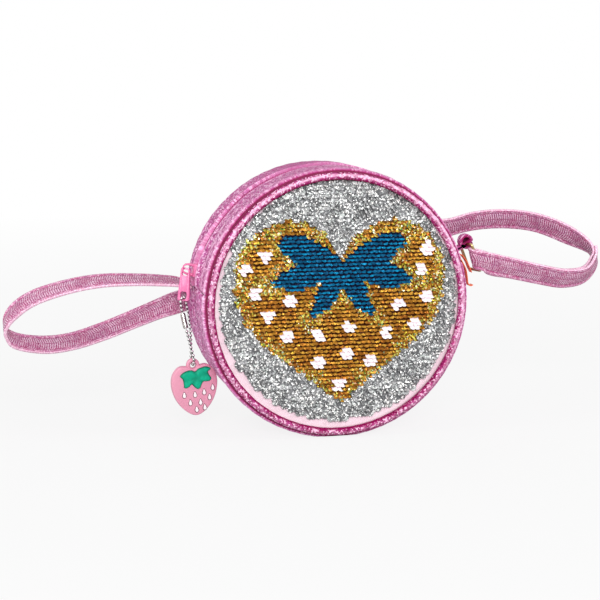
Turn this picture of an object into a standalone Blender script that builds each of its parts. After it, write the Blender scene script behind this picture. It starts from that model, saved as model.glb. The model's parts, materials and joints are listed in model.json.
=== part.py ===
"""Round shoulder bag: a short drum of leatherette with a zip, a strap, a ring and a charm.

The drum's axis lies along Y, its sequin face looks towards -Y, and it stands on the flattened
bottom of its side wall. Angles round the drum are measured from +X towards +Z.
"""
import math

import bmesh
import bpy
import numpy as np
from mathutils import Vector

MM = 0.001

# Gap that touching pieces keep, and the finest distance that counts as one point
GAP = 0.3 * MM
WELD = 0.002 * MM

# Drum
DRUM_RADIUS = 90.0 * MM
DRUM_DEPTH = 67.6 * MM
MIDDLE_SAG = 0.8 * MM
GUSSET_WALL = 1.8 * MM
EDGE_ROUND = 4.3 * MM
EDGE_DROP = 2.1 * MM
FLAT_DEPTH = 1.5 * MM
DRUM_STEPS = 72
ARC_STEP = 4.6

# Panels, piping and lining
PANEL_WALL = 1.8 * MM
PANEL_RECESS = 0.2 * MM
PANEL_CLEARANCE = 2.0 * MM
PIPING_RADIUS = 2.6 * MM
PIPING_INSET = 2.7 * MM
PIPING_STAND = 0.1 * MM
LINING_WALL = 0.5 * MM

# End seams of the zip, in degrees round the drum
LEFT_SEAM = 174.0
RIGHT_SEAM = 17.0
SEAM_GAP = 0.4 * MM

# Zip
ZIP_MOUTH = 10.0 * MM
TAPE_WIDTH = 15.5 * MM
TAPE_WALL = 0.8 * MM
TEETH_SPLIT = 1.0 * MM
TEETH_WIDTH = 2.4 * MM
TEETH_HEIGHT = 1.6 * MM
STOP_LENGTH = 2.4 * MM
ZIP_INSET = 1.2 * MM
LINING_LAP = 4.0 * MM
SLIDER_ANGLE = 166.8
SLIDER_LENGTH = 9.5 * MM
SLIDER_WALL = 1.2 * MM
BRIDGE_WIRE = 0.5 * MM
BRIDGE_RISE = 9.4 * MM
BRIDGE_REACH = 3.2 * MM

# Pull
PULL_TWIST = 42.0
PULL_LEAN = 8.0
PULL_LENGTH = 22.0 * MM
PULL_TOP_WIDTH = 7.0 * MM
PULL_LOW_WIDTH = 9.4 * MM
PULL_WALL = 1.2 * MM
PULL_RIM = 1.3 * MM
EYE_WIDTH = 5.2 * MM
EYE_HEIGHT = 4.0 * MM
HOLE_WIDTH = 5.8 * MM
HOLE_HEIGHT = 5.1 * MM
HOLE_RIM = 1.1 * MM

# Bead chain
BEAD_RADIUS = 1.05 * MM
BEAD_NECK = 0.4 * MM
BEAD_PITCH = 2.75 * MM
CONNECTOR_RADIUS = 1.7 * MM

# Charm
CHARM_TURN = 6.0
CHARM_ROLL = 3.8
CHARM_ASIDE = 4.6 * MM
CHARM_AHEAD = 7.0 * MM
CHARM_DROP = 42.4 * MM
CHARM_WIDTH = 31.0 * MM
CHARM_HEIGHT = 34.0 * MM
CHARM_WALL = 5.0 * MM
LUG_WALL = 3.0 * MM
LUG_RADIUS = 4.35 * MM
LUG_BORE = 2.0 * MM
LUG_TURN = 3.8 * MM
LEAF_WALL = 0.9 * MM
SEED_WALL = 0.5 * MM

# Strap, ring and tab
STRAP_WIDTH = 15.5 * MM
STRAP_WALL = 2.2 * MM
STRAP_SHIFT = 10.5 * MM
RING_WIRE = 1.05 * MM
LAYER_GAP = 0.6 * MM
LAYER_DROP = 1.5 * MM
FOLD_SLACK = 1.1 * MM
RING_LONG = 18.4 * MM
RING_SHORT = 10.6 * MM
RING_OUT = 11.4 * MM
RING_UP = 33.2 * MM
TAB_WALL = 1.6 * MM
TAB_HOLE_WIDTH = 5.8 * MM
TAB_HOLE_HEIGHT = 6.6 * MM
TAG_WIDTH = 6.0 * MM
TAG_WALL = 0.5 * MM

# Sequin artwork
PATCH_CRESCENT = 2.9 * MM
PATCH_WALL = 1.0 * MM
ARTWORK_RADIUS = 79.7
MOTIF_WALL = 0.6 * MM

# Worked out from the sizes above
AXIS_Z = DRUM_RADIUS - FLAT_DEPTH
HALF_DEPTH = DRUM_DEPTH / 2
MIDDLE_RADIUS = DRUM_RADIUS - MIDDLE_SAG
WALL_INSIDE = MIDDLE_RADIUS - GUSSET_WALL
TAPE_TOP = WALL_INSIDE - GAP
TAPE_UNDER = TAPE_TOP - TAPE_WALL
TEETH_UNDER = TAPE_TOP + GAP
TEETH_TOP = TEETH_UNDER + TEETH_HEIGHT
SLIDER_TOP = TEETH_TOP + GAP + SLIDER_WALL
EDGE_RADIUS = DRUM_RADIUS - EDGE_DROP
PANEL_RADIUS = DRUM_RADIUS - GUSSET_WALL - PANEL_CLEARANCE
PIPING_RING = EDGE_RADIUS - PIPING_INSET
PIPING_Y = HALF_DEPTH + PIPING_RADIUS + PIPING_STAND
BACK_OF_PIPING = PIPING_Y + PIPING_RADIUS
PATCH_RADIUS = PIPING_RING - PIPING_RADIUS - PATCH_CRESCENT
ARTWORK_UNIT = PATCH_RADIUS / ARTWORK_RADIUS

FINISHES = {
    "glitter_pink": ((0.58, 0.14, 0.34), 0.35, 0.3),
    "glitter_mauve": ((0.62, 0.20, 0.42), 0.32, 0.3),
    "piping_pink": ((0.52, 0.08, 0.27), 0.3, 0.3),
    "pale_fabric": ((0.95, 0.70, 0.78), 0.85, 0.0),
    "silver_sequin": ((0.55, 0.56, 0.57), 0.25, 0.9),
    "gold_sequin": ((0.60, 0.33, 0.05), 0.25, 0.9),
    "blue_sequin": ((0.0, 0.12, 0.32), 0.3, 0.7),
    "zip_pink": ((0.80, 0.22, 0.46), 0.6, 0.0),
    "painted_pink": ((0.86, 0.20, 0.48), 0.3, 0.1),
    "chain_steel": ((0.62, 0.62, 0.60), 0.2, 1.0),
    "charm_pink": ((0.84, 0.32, 0.46), 0.45, 0.0),
    "charm_green": ((0.01, 0.45, 0.23), 0.45, 0.0),
    "charm_white": ((0.92, 0.88, 0.88), 0.4, 0.0),
    "pale_gold": ((0.72, 0.62, 0.44), 0.22, 1.0),
    "orange_ribbon": ((0.87, 0.16, 0.02), 0.7, 0.0),
    "lining_pink": ((0.85, 0.45, 0.60), 0.8, 0.0),
}


def clear_scene():
    """Empty the scene of the objects it opened with."""
    for old in list(bpy.data.objects):
        bpy.data.objects.remove(old, do_unlink=True)


def finish_material(name):
    """Principled material of one named finish, made once."""
    if name in bpy.data.materials:
        return bpy.data.materials[name]
    colour, roughness, metallic = FINISHES[name]
    made = bpy.data.materials.new(name)
    made.use_nodes = True
    shader = made.node_tree.nodes["Principled BSDF"]
    shader.inputs["Base Color"].default_value = (*colour, 1.0)
    shader.inputs["Roughness"].default_value = roughness
    shader.inputs["Metallic"].default_value = metallic
    return made


def add_object(name, bm, finish, origin=(0.0, 0.0, 0.0), smooth_angle=35.0):
    """Turn a bmesh in world places into an object whose origin stands at origin."""
    bmesh.ops.recalc_face_normals(bm, faces=bm.faces)
    bmesh.ops.translate(bm, verts=bm.verts, vec=-Vector(origin))
    mesh = bpy.data.meshes.new(name)
    bm.to_mesh(mesh)
    bm.free()
    mesh.shade_smooth()
    mesh.set_sharp_from_angle(angle=math.radians(smooth_angle))
    made = bpy.data.objects.new(name, mesh)
    made.location = origin
    made.data.materials.append(finish_material(finish))
    bpy.context.scene.collection.objects.link(made)
    return made


def add_tube(name, points, radius, finish, origin, radii=None, cyclic=False, resolution=2):
    """Curve object: a round wire of one radius, or of its own radius at each point."""
    curve = bpy.data.curves.new(name, "CURVE")
    curve.dimensions = "3D"
    curve.bevel_depth = radius
    curve.bevel_resolution = resolution
    curve.use_fill_caps = True
    spline = curve.splines.new("POLY")
    spline.points.add(len(points) - 1)
    for number, (target, point) in enumerate(zip(spline.points, points)):
        target.co = (*(Vector(point) - Vector(origin)), 1.0)
        target.radius = radii[number] if radii else 1.0
    spline.use_cyclic_u = cyclic
    made = bpy.data.objects.new(name, curve)
    made.location = origin
    curve.materials.append(finish_material(finish))
    bpy.context.scene.collection.objects.link(made)
    return made


def tube_as_mesh(tube):
    """Swap a tube's curve for its mesh, so that a Boolean can take it."""
    mesh = bpy.data.meshes.new_from_object(tube)
    made = bpy.data.objects.new(tube.name + "_mesh", mesh)
    made.location = tube.location
    bpy.context.scene.collection.objects.link(made)
    bpy.data.objects.remove(tube, do_unlink=True)
    return made


def add_boolean(target, tool, operation):
    """Live exact Boolean on target; the tool is kept as a hidden guide."""
    tool.hide_render = True
    tool.display_type = "WIRE"
    cut = target.modifiers.new(tool.name, "BOOLEAN")
    cut.operation = operation
    cut.solver = "EXACT"
    cut.object = tool


def on_drum(angle, radius, y):
    """World place at an angle in degrees round the drum."""
    turn = math.radians(angle)
    return Vector((radius * math.cos(turn), y, AXIS_Z + radius * math.sin(turn)))


def arc_degrees(length, radius=DRUM_RADIUS):
    """Angle in degrees that a length takes on a circle."""
    return math.degrees(length / radius)


def smooth_curve(points, per_span, closed=False):
    """Centripetal Catmull-Rom curve through rows of numbers, with per_span steps a span."""
    rows = [np.array(row, float) for row in points]
    if closed:
        rows = [rows[-1]] + rows + rows[:2]
    else:
        rows = [2 * rows[0] - rows[1]] + rows + [2 * rows[-1] - rows[-2]]
    out = []
    for p0, p1, p2, p3 in zip(rows, rows[1:], rows[2:], rows[3:]):
        knots = [0.0]
        for a, b in ((p0, p1), (p1, p2), (p2, p3)):
            knots.append(knots[-1] + max(np.linalg.norm((b - a)[:3]), 1e-9) ** 0.5)
        t0, t1, t2, t3 = knots
        for step in range(per_span):
            t = t1 + (t2 - t1) * step / per_span
            a1 = ((t1 - t) * p0 + (t - t0) * p1) / (t1 - t0)
            a2 = ((t2 - t) * p1 + (t - t1) * p2) / (t2 - t1)
            a3 = ((t3 - t) * p2 + (t - t2) * p3) / (t3 - t2)
            b1 = ((t2 - t) * a1 + (t - t0) * a2) / (t2 - t0)
            b2 = ((t3 - t) * a2 + (t - t1) * a3) / (t3 - t1)
            out.append(((t2 - t) * b1 + (t - t1) * b2) / (t2 - t1))
    if not closed:
        out.append(rows[-2])
    return out


def turned(profile, start=0.0, end=360.0, steps=None):
    """Solid swept round the drum's axis from a closed outline of (y, radius) points."""
    steps = steps or max(round((end - start) / ARC_STEP), 2)
    bm = bmesh.new()
    verts = [bm.verts.new(on_drum(start, radius, y)) for y, radius in profile]
    whole = end - start >= 360.0
    if whole:
        ring = [bm.edges.new((a, b)) for a, b in zip(verts, verts[1:] + verts[:1])]
        geometry = verts + ring
    else:
        face = bm.faces.new(verts)
        geometry = [face, *face.edges, *face.verts]
    bmesh.ops.spin(bm, geom=geometry, cent=(0.0, 0.0, AXIS_Z), axis=(0.0, -1.0, 0.0),
                   angle=math.radians(end - start), steps=steps, use_duplicate=False)
    if whole:
        bmesh.ops.remove_doubles(bm, verts=bm.verts, dist=WELD)
    return bm


def turned_disc(profile, steps=DRUM_STEPS):
    """Solid disc from an open outline of (y, radius) points that starts and ends on the axis."""
    bm = bmesh.new()
    verts = [bm.verts.new(on_drum(0.0, radius, y)) for y, radius in profile]
    chain = [bm.edges.new((a, b)) for a, b in zip(verts, verts[1:])]
    bmesh.ops.spin(bm, geom=verts + chain, cent=(0.0, 0.0, AXIS_Z), axis=(0.0, -1.0, 0.0),
                   angle=math.radians(360.0), steps=steps, use_duplicate=False)
    bmesh.ops.remove_doubles(bm, verts=bm.verts, dist=WELD)
    return bm


def flatten(bm, outer_level, inner_level, split_radius):
    """Press the bottom of a band level: its outer side to one height, its inner to another."""
    for vert in bm.verts:
        radius = math.hypot(vert.co.x, vert.co.z - AXIS_Z)
        level = outer_level if radius > split_radius else inner_level
        vert.co.z = max(vert.co.z, level)


def wall_radius(y):
    """Outer radius of the side wall: a shallow sag between two round ridges."""
    ridge = HALF_DEPTH - EDGE_ROUND
    reach = abs(y)
    if reach <= ridge:
        return MIDDLE_RADIUS + MIDDLE_SAG * (1 - math.cos(math.pi * reach / ridge)) / 2
    share = (reach - ridge) / EDGE_ROUND
    return EDGE_RADIUS + (DRUM_RADIUS - EDGE_RADIUS) * math.sqrt(max(1 - share * share, 0.0))


def wall_profile(low, high):
    """Outline of the side wall between two places across its width."""
    ridge = HALF_DEPTH - EDGE_ROUND
    marks = [-HALF_DEPTH, -HALF_DEPTH + 0.15 * EDGE_ROUND, -HALF_DEPTH + 0.5 * EDGE_ROUND, -ridge,
             -0.66 * ridge, -0.33 * ridge, 0.0]
    marks += [-mark for mark in marks[-2::-1]]
    inside = [mark for mark in marks if low + MM < mark < high - MM]
    across = [low, *inside, high]
    outer = [(y, wall_radius(y)) for y in across]
    inner = [(y, wall_radius(y) - wall_thickness(y)) for y in reversed(across)]
    return outer + inner


def wall_thickness(y):
    """Thickness of the side wall, which thins into the round seams."""
    ridge = HALF_DEPTH - EDGE_ROUND
    if abs(y) <= ridge:
        return GUSSET_WALL
    return GUSSET_WALL * (1 - 0.5 * (abs(y) - ridge) / EDGE_ROUND)


def build_gussets():
    """Side wall: one lower band and the two strips beside the zip."""
    seam = arc_degrees(SEAM_GAP / 2)
    lower = turned(wall_profile(-HALF_DEPTH, HALF_DEPTH), LEFT_SEAM + seam, 360 + RIGHT_SEAM - seam)
    flatten(lower, 0.0, GUSSET_WALL, WALL_INSIDE + GUSSET_WALL / 2)
    add_object("lower_gusset", lower, "glitter_mauve")
    spans = {"front": (-HALF_DEPTH, -ZIP_MOUTH / 2), "back": (ZIP_MOUTH / 2, HALF_DEPTH)}
    for side, (low, high) in spans.items():
        strip = turned(wall_profile(low, high), RIGHT_SEAM + seam, LEFT_SEAM - seam)
        add_object(f"upper_gusset_{side}", strip, "glitter_pink")


def build_panels():
    """Front and back discs, each held behind its piping."""
    for side, sign, finish in (("front", -1, "pale_fabric"), ("back", 1, "glitter_pink")):
        face = HALF_DEPTH - PANEL_RECESS
        outline = [(sign * face, 0.0), (sign * face, PANEL_RADIUS),
                   (sign * (face - PANEL_WALL), PANEL_RADIUS), (sign * (face - PANEL_WALL), 0.0)]
        add_object(f"{side}_panel", turned_disc(outline), finish)


def build_piping():
    """Round cord in each of the two seams."""
    for side, sign in (("front", -1), ("back", 1)):
        turns = [math.radians(45 * corner + 22.5) for corner in range(8)]
        outline = [(sign * PIPING_Y + PIPING_RADIUS * math.cos(turn),
                    PIPING_RING + PIPING_RADIUS * math.sin(turn)) for turn in turns]
        add_object(f"{side}_piping", turned(outline, steps=DRUM_STEPS), "piping_pink", smooth_angle=60.0)


def build_lining():
    """Thin lining discs and bands inside the drum."""
    face = HALF_DEPTH - PANEL_RECESS - PANEL_WALL - GAP
    radius = PANEL_RADIUS - GAP
    for side, sign in (("front", -1), ("back", 1)):
        outline = [(sign * face, 0.0), (sign * face, radius),
                   (sign * (face - LINING_WALL), radius), (sign * (face - LINING_WALL), 0.0)]
        add_object(f"lining_{side}", turned_disc(outline, 36), "lining_pink")
    reach = face - LINING_WALL - GAP
    top = WALL_INSIDE - GAP
    under = top - LINING_WALL
    band = [(-reach, under), (-reach, top), (reach, top), (reach, under)]
    lower = turned(band, LEFT_SEAM + 1.0, 360 + RIGHT_SEAM - 1.0)
    flatten(lower, GUSSET_WALL + GAP, GUSSET_WALL + GAP + LINING_WALL, top - LINING_WALL / 2)
    add_object("lining_lower", lower, "lining_pink")
    top = TAPE_UNDER - GAP
    under = top - LINING_WALL
    start = TEETH_SPLIT / 2 + TAPE_WIDTH - LINING_LAP
    for side, sign in (("front", -1), ("back", 1)):
        band = [(sign * start, under), (sign * start, top), (sign * reach, top), (sign * reach, under)]
        strip = turned(band, RIGHT_SEAM + 1.0, LEFT_SEAM - 1.0)
        add_object(f"lining_upper_{side}", strip, "lining_pink")


def zip_span():
    """First and last angle of the zip's tapes."""
    inset = arc_degrees(ZIP_INSET)
    return RIGHT_SEAM + inset, LEFT_SEAM - inset


def build_zip_track():
    """Tapes, coils and end stops."""
    first, last = zip_span()
    stop = arc_degrees(STOP_LENGTH)
    spare = arc_degrees(GAP)
    half = TEETH_SPLIT / 2
    for side, sign in (("front", -1), ("back", 1)):
        inner, outer = sign * half, sign * (half + TAPE_WIDTH)
        tape = [(inner, TAPE_UNDER), (inner, TAPE_TOP), (outer, TAPE_TOP), (outer, TAPE_UNDER)]
        add_object(f"zip_tape_{side}", turned(tape, first, last), "zip_pink")
        outer = sign * (half + TEETH_WIDTH)
        slope = sign * 0.5 * MM
        teeth = [(inner, TEETH_UNDER), (inner, TEETH_TOP - 0.4 * MM), (inner + slope, TEETH_TOP),
                 (outer - slope, TEETH_TOP), (outer, TEETH_TOP - 0.4 * MM), (outer, TEETH_UNDER)]
        coil = turned(teeth, first + stop + spare, last - stop - spare)
        add_object(f"zip_teeth_{side}", coil, "zip_pink")
    reach = half + TEETH_WIDTH + 0.5 * MM
    block = [(-reach, TEETH_UNDER), (-reach, TEETH_TOP), (-reach + 0.8 * MM, TEETH_TOP + 0.8 * MM),
             (reach - 0.8 * MM, TEETH_TOP + 0.8 * MM), (reach, TEETH_TOP), (reach, TEETH_UNDER)]
    add_object("zip_stop_right", turned(block, first, first + stop, 2), "painted_pink")
    add_object("zip_stop_left", turned(block, last - stop, last, 2), "painted_pink")


def slider_axis():
    """Directions at the slider: out from the drum, and up along the zip."""
    out = on_drum(SLIDER_ANGLE, 1.0, 0.0) - on_drum(SLIDER_ANGLE, 0.0, 0.0)
    along = Vector((0.0, 1.0, 0.0)).cross(out)
    return out.normalized(), along.normalized()


def build_slider():
    """Slider: a plate above and a plate below the tapes, joined by a post, with a wire bridge."""
    wing = TEETH_SPLIT / 2 + TEETH_WIDTH + 0.4 * MM
    edge = wing + 0.8 * MM
    post = TEETH_SPLIT / 2 - GAP
    floor_top = TAPE_UNDER - GAP
    roof = TEETH_TOP + GAP
    skirt = TAPE_TOP + 0.5 * MM
    half = [(edge - 0.2 * MM, floor_top - 1.0 * MM), (edge - 0.2 * MM, floor_top), (post, floor_top),
            (post, roof), (wing, roof), (wing, skirt), (edge, skirt), (edge, SLIDER_TOP - 0.4 * MM),
            (edge - 0.5 * MM, SLIDER_TOP)]
    outline = half + [(-y, radius) for y, radius in reversed(half)]
    sweep = arc_degrees(SLIDER_LENGTH)
    body = turned(outline, SLIDER_ANGLE - sweep / 2, SLIDER_ANGLE + sweep / 2, 4)
    origin = Vector((0.0, 0.0, AXIS_Z))
    slider = add_object("zip_slider", body, "painted_pink", origin)
    foot = on_drum(SLIDER_ANGLE, SLIDER_TOP - 0.5 * MM, 0.0)
    out, along = slider_axis()
    crown = [(0.0, 1.0), (0.62, 1.0), (0.86, 0.86), (0.97, 0.5), (1.0, 0.0)]
    right = [(rise, reach) for rise, reach in crown]
    arch = right + [(rise, -reach) for rise, reach in reversed(right[:-1])]
    points = [foot + out * (BRIDGE_RISE * rise) + along * (BRIDGE_REACH * reach) for rise, reach in arch]
    wire = tube_as_mesh(add_tube("bridge_wire", points, BRIDGE_WIRE, "painted_pink", origin))
    add_boolean(slider, wire, "UNION")


def pull_frame():
    """Hinge point of the pull, and its directions: across, down the plate, and out of its face."""
    out, _ = slider_axis()
    top = on_drum(SLIDER_ANGLE, SLIDER_TOP - 0.5 * MM, 0.0) + out * BRIDGE_RISE
    rim_reach = math.hypot(PULL_RIM, PULL_WALL) / 2
    inward = (BRIDGE_WIRE + rim_reach + GAP / 3) / math.cos(math.radians(PULL_TWIST))
    hinge = top - out * inward
    twist = math.radians(PULL_TWIST)
    across = Vector((math.sin(twist), -math.cos(twist), 0.0))
    outward = Vector((-math.cos(twist), -math.sin(twist), 0.0))
    lean = math.radians(PULL_LEAN)
    down = Vector((0.0, 0.0, -math.cos(lean))) + outward * math.sin(lean)
    face = outward * math.cos(lean) + Vector((0.0, 0.0, math.sin(lean)))
    return hinge, across, down, face


def rounded_box(width_top, width_low, start, end, corner, steps=3):
    """Outline of (across, down) points: a tapered plate with round corners."""
    spots = [(width_top / 2 - corner, start + corner, -90), (width_low / 2 - corner, end - corner, 0),
             (-width_low / 2 + corner, end - corner, 90), (-width_top / 2 + corner, start + corner, 180)]
    outline = []
    for across, down, first in spots:
        for step in range(steps + 1):
            turn = math.radians(first + 90 * step / steps)
            outline.append((across + corner * math.cos(turn), down + corner * math.sin(turn)))
    return outline


def plate(outline, place, across, down, face, low, high):
    """Solid between two depths from a flat outline laid on two directions."""
    bm = bmesh.new()
    verts = [bm.verts.new(place + across * a + down * d + face * low) for a, d in outline]
    cap = bm.faces.new(verts)
    grown = bmesh.ops.extrude_face_region(bm, geom=[cap], use_keep_orig=True)
    moved = [item for item in grown["geom"] if isinstance(item, bmesh.types.BMVert)]
    bmesh.ops.translate(bm, verts=moved, vec=face * (high - low))
    return bm


def pull_hole_middle():
    """Distance down the pull of the middle of its lower hole."""
    return PULL_LENGTH - PULL_RIM / 2 - HOLE_RIM - HOLE_HEIGHT / 2


def build_pull():
    """Flat painted pull with an eye round the bridge and a hole for the chain."""
    hinge, across, down, face = pull_frame()
    start = -PULL_RIM / 2
    outline = rounded_box(PULL_TOP_WIDTH, PULL_LOW_WIDTH, start, start + PULL_LENGTH, 1.6 * MM)
    body = plate(outline, hinge, across, down, face, -PULL_WALL / 2, PULL_WALL / 2)
    pull = add_object("zip_pull", body, "painted_pink", hinge)
    eye_start = PULL_RIM / 2
    eye = rounded_box(EYE_WIDTH, EYE_WIDTH, eye_start, eye_start + EYE_HEIGHT, 1.2 * MM)
    middle = pull_hole_middle()
    hole = rounded_box(HOLE_WIDTH, HOLE_WIDTH, middle - HOLE_HEIGHT / 2, middle + HOLE_HEIGHT / 2, 1.8 * MM)
    for name, cut in (("eye_cutter", eye), ("hole_cutter", hole)):
        tool = plate(cut, hinge, across, down, face, -PULL_WALL, PULL_WALL)
        add_boolean(pull, add_object(name, tool, "painted_pink", hinge), "DIFFERENCE")


def chain_top():
    """Middle of the pull's bottom rim, round which the chain turns."""
    hinge, _, down, _ = pull_frame()
    return hinge + down * (PULL_LENGTH - PULL_RIM / 2 - HOLE_RIM / 2)


def charm_frame():
    """Middle of the charm's lug bore, and its directions: across, down and out of its face."""
    turn, roll = math.radians(CHARM_TURN), math.radians(CHARM_ROLL)
    bore = chain_top() + Vector((CHARM_ASIDE, -CHARM_AHEAD, -CHARM_DROP))
    level = Vector((math.cos(turn), math.sin(turn), 0.0))
    upward = Vector((0.0, 0.0, 1.0))
    across = level * math.cos(roll) + upward * math.sin(roll)
    down = level * math.sin(roll) - upward * math.cos(roll)
    face = Vector((math.sin(turn), -math.cos(turn), 0.0))
    return bore, across, down, face


def chain_route():
    """Points of the chain from the connector's top, through pull and lug, to its foot."""
    _, _, _, tilted = pull_frame()
    outward = Vector((tilted.x, tilted.y, 0.0)).normalized()
    rim = chain_top()
    bore, _, _, face = charm_frame()
    up = Vector((0.0, 0.0, 1.0))
    loop = HOLE_RIM / 2 + BEAD_RADIUS + 1.4 * MM
    centre = rim - up * (loop - HOLE_RIM / 2 - BEAD_RADIUS - GAP - 0.15 * MM)
    front = centre + outward * loop
    foot = bore + up * LUG_TURN + face * LUG_TURN
    connector_top = front + (foot - front) * 0.17 + outward * 0.6 * MM
    connector_low = front + (foot - front) * 0.47 + outward * 0.8 * MM
    over = [centre + (outward * math.cos(turn) + up * math.sin(turn)) * loop
            for turn in (math.radians(30 * step) for step in range(0, 7))]
    back = bore + up * LUG_TURN - face * LUG_TURN
    side = centre - outward * loop
    run = [side + (back - side) * share + Vector((1.2 * MM, 1.4 * MM, 0.0)) * math.sin(math.pi * share)
           for share in (0.25, 0.5, 0.75)]
    under = [bore + up * LUG_TURN + (-face * math.cos(turn) - up * math.sin(turn)) * LUG_TURN
             for turn in (math.radians(30 * step) for step in range(0, 7))]
    last = [foot + (connector_low - foot) * 0.5]
    first = [connector_top, (connector_top + front) / 2]
    return first + over + run + under + last + [connector_low], connector_top, connector_low


def even_points(points, spacing):
    """Points at equal distances along a smooth curve through points."""
    fine = [Vector(row) for row in smooth_curve([tuple(point) for point in points], 12)]
    reach = [0.0]
    for a, b in zip(fine, fine[1:]):
        reach.append(reach[-1] + (b - a).length)
    count = max(round(reach[-1] / spacing), 1)
    marks = np.linspace(0.0, reach[-1], count + 1)
    columns = [np.interp(marks, reach, [point[axis] for point in fine]) for axis in range(3)]
    return [Vector(row) for row in zip(*columns)]


def build_chain():
    """Bead chain as one run of beads and necks, and the sleeve that closes it."""
    route, top, low = chain_route()
    beads = even_points(route, BEAD_PITCH)
    origin = chain_top()
    points, radii = [], []
    neck = BEAD_NECK / BEAD_RADIUS
    for here, after in zip(beads, beads[1:]):
        step = after - here
        side = step.normalized() * (BEAD_RADIUS * 0.87)
        shoulder = step.normalized() * (BEAD_RADIUS * 0.35)
        middle = (here + after) / 2
        points += [middle - side, middle - shoulder, middle + shoulder, middle + side]
        radii += [neck, 0.94, 0.94, neck]
    add_tube("ball_chain", points, BEAD_RADIUS, "chain_steel", origin, radii, resolution=1)
    run = (low - top).normalized()
    clear = GAP + BEAD_RADIUS * 0.2
    ends = [(0.0, 0.55), (0.12, 1.0), (0.88, 1.0), (1.0, 0.55)]
    start, finish = top + run * clear, low - run * clear
    sleeve = [start + (finish - start) * share for share, _ in ends]
    add_tube("chain_connector", sleeve, CONNECTOR_RADIUS, "chain_steel", origin,
             [size for _, size in ends], resolution=2)


def charm_outline():
    """Strawberry outline of (across, down) points from the lug's bore."""
    half, tall = CHARM_WIDTH / 2, CHARM_HEIGHT
    shoulder = [(0.0, 0.065), (0.3, 0.015), (0.64, 0.02), (0.94, 0.18), (1.0, 0.38), (0.87, 0.63),
                (0.52, 0.87)]
    right = [(half * across, tall * down) for across, down in shoulder]
    loop = right + [(0.0, tall)] + [(-across, down) for across, down in reversed(right[1:])]
    return [tuple(row) for row in smooth_curve(loop, 3, closed=True)]


def build_charm():
    """Strawberry charm: a thick body with a lug, a leaf cap and raised seeds."""
    bore, across, down, face = charm_frame()
    body = plate(charm_outline(), bore, across, down, face, -CHARM_WALL / 2, CHARM_WALL / 2)
    rims = [edge for edge in body.edges if edge.calc_face_angle(0.0) > math.radians(50)]
    bmesh.ops.bevel(body, geom=rims, offset=0.9 * MM, segments=2, profile=0.6, affect="EDGES")
    charm = add_object("charm_body", body, "charm_pink", bore)
    lug = circle_outline(LUG_RADIUS, 0.0, 0.0, 20)
    neck = plate(lug, bore, across, down, face, -LUG_WALL / 2, LUG_WALL / 2)
    add_boolean(charm, add_object("lug_guide", neck, "charm_pink", bore), "UNION")
    hole = plate(circle_outline(LUG_BORE, 0.0, 0.0, 16), bore, across, down, face, -CHARM_WALL, CHARM_WALL)
    add_boolean(charm, add_object("bore_cutter", hole, "charm_pink", bore), "DIFFERENCE")
    add_boolean(charm, charm_seeds(bore, across, down, face), "UNION")
    build_charm_leaves(bore, across, down, face)


def circle_outline(radius, across, down, count):
    """Round outline of (across, down) points."""
    turns = [2 * math.pi * step / count for step in range(count)]
    return [(across + radius * math.cos(turn), down + radius * math.sin(turn)) for turn in turns]


def build_charm_leaves(bore, across, down, face):
    """Leaf cap with five pointed leaves across the charm's shoulders."""
    half, tall = CHARM_WIDTH / 2, CHARM_HEIGHT
    leaf = [(0.04, 0.12), (-0.10, 0.09), (-0.32, 0.09), (-0.50, 0.12), (-0.64, 0.18), (-0.53, 0.25),
            (-0.50, 0.34), (-0.50, 0.41), (-0.40, 0.43), (-0.26, 0.41), (-0.15, 0.37), (-0.04, 0.43),
            (0.10, 0.475), (0.20, 0.46), (0.29, 0.39), (0.36, 0.345), (0.47, 0.345), (0.66, 0.34),
            (0.73, 0.295), (0.63, 0.21), (0.60, 0.155), (0.74, 0.10), (0.54, 0.05), (0.35, 0.055),
            (0.16, 0.08)]
    outline = [(half * a, tall * d) for a, d in leaf]
    low = CHARM_WALL / 2 + GAP
    cap = plate(outline, bore, across, down, face, low, low + LEAF_WALL)
    add_object("charm_leaves", cap, "charm_green", bore)


def charm_seeds(bore, across, down, face):
    """Guide with nine drop-shaped seeds in rows below the leaves, sunk into the charm's face."""
    half, tall = CHARM_WIDTH / 2, CHARM_HEIGHT
    spots = [(-0.51, 0.562), (-0.04, 0.576), (0.37, 0.547), (0.76, 0.476), (0.59, 0.66), (0.18, 0.74),
             (-0.27, 0.726), (0.35, 0.85), (-0.01, 0.873)]
    low, high = CHARM_WALL / 2 - SEED_WALL, CHARM_WALL / 2 + SEED_WALL
    group = bmesh.new()
    for a, d in spots:
        drop = [(0.0, -2.1), (0.8, -0.6), (1.15, 0.7), (0.6, 1.8), (-0.6, 1.8), (-1.15, 0.7), (-0.8, -0.6)]
        outline = [(half * a + x * MM, tall * d + y * MM) for x, y in drop]
        seed = plate(outline, bore, across, down, face, low, high)
        part = bpy.data.meshes.new("seed")
        seed.to_mesh(part)
        seed.free()
        group.from_mesh(part)
        bpy.data.meshes.remove(part)
    return add_object("seed_guide", group, "charm_white", bore)


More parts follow.
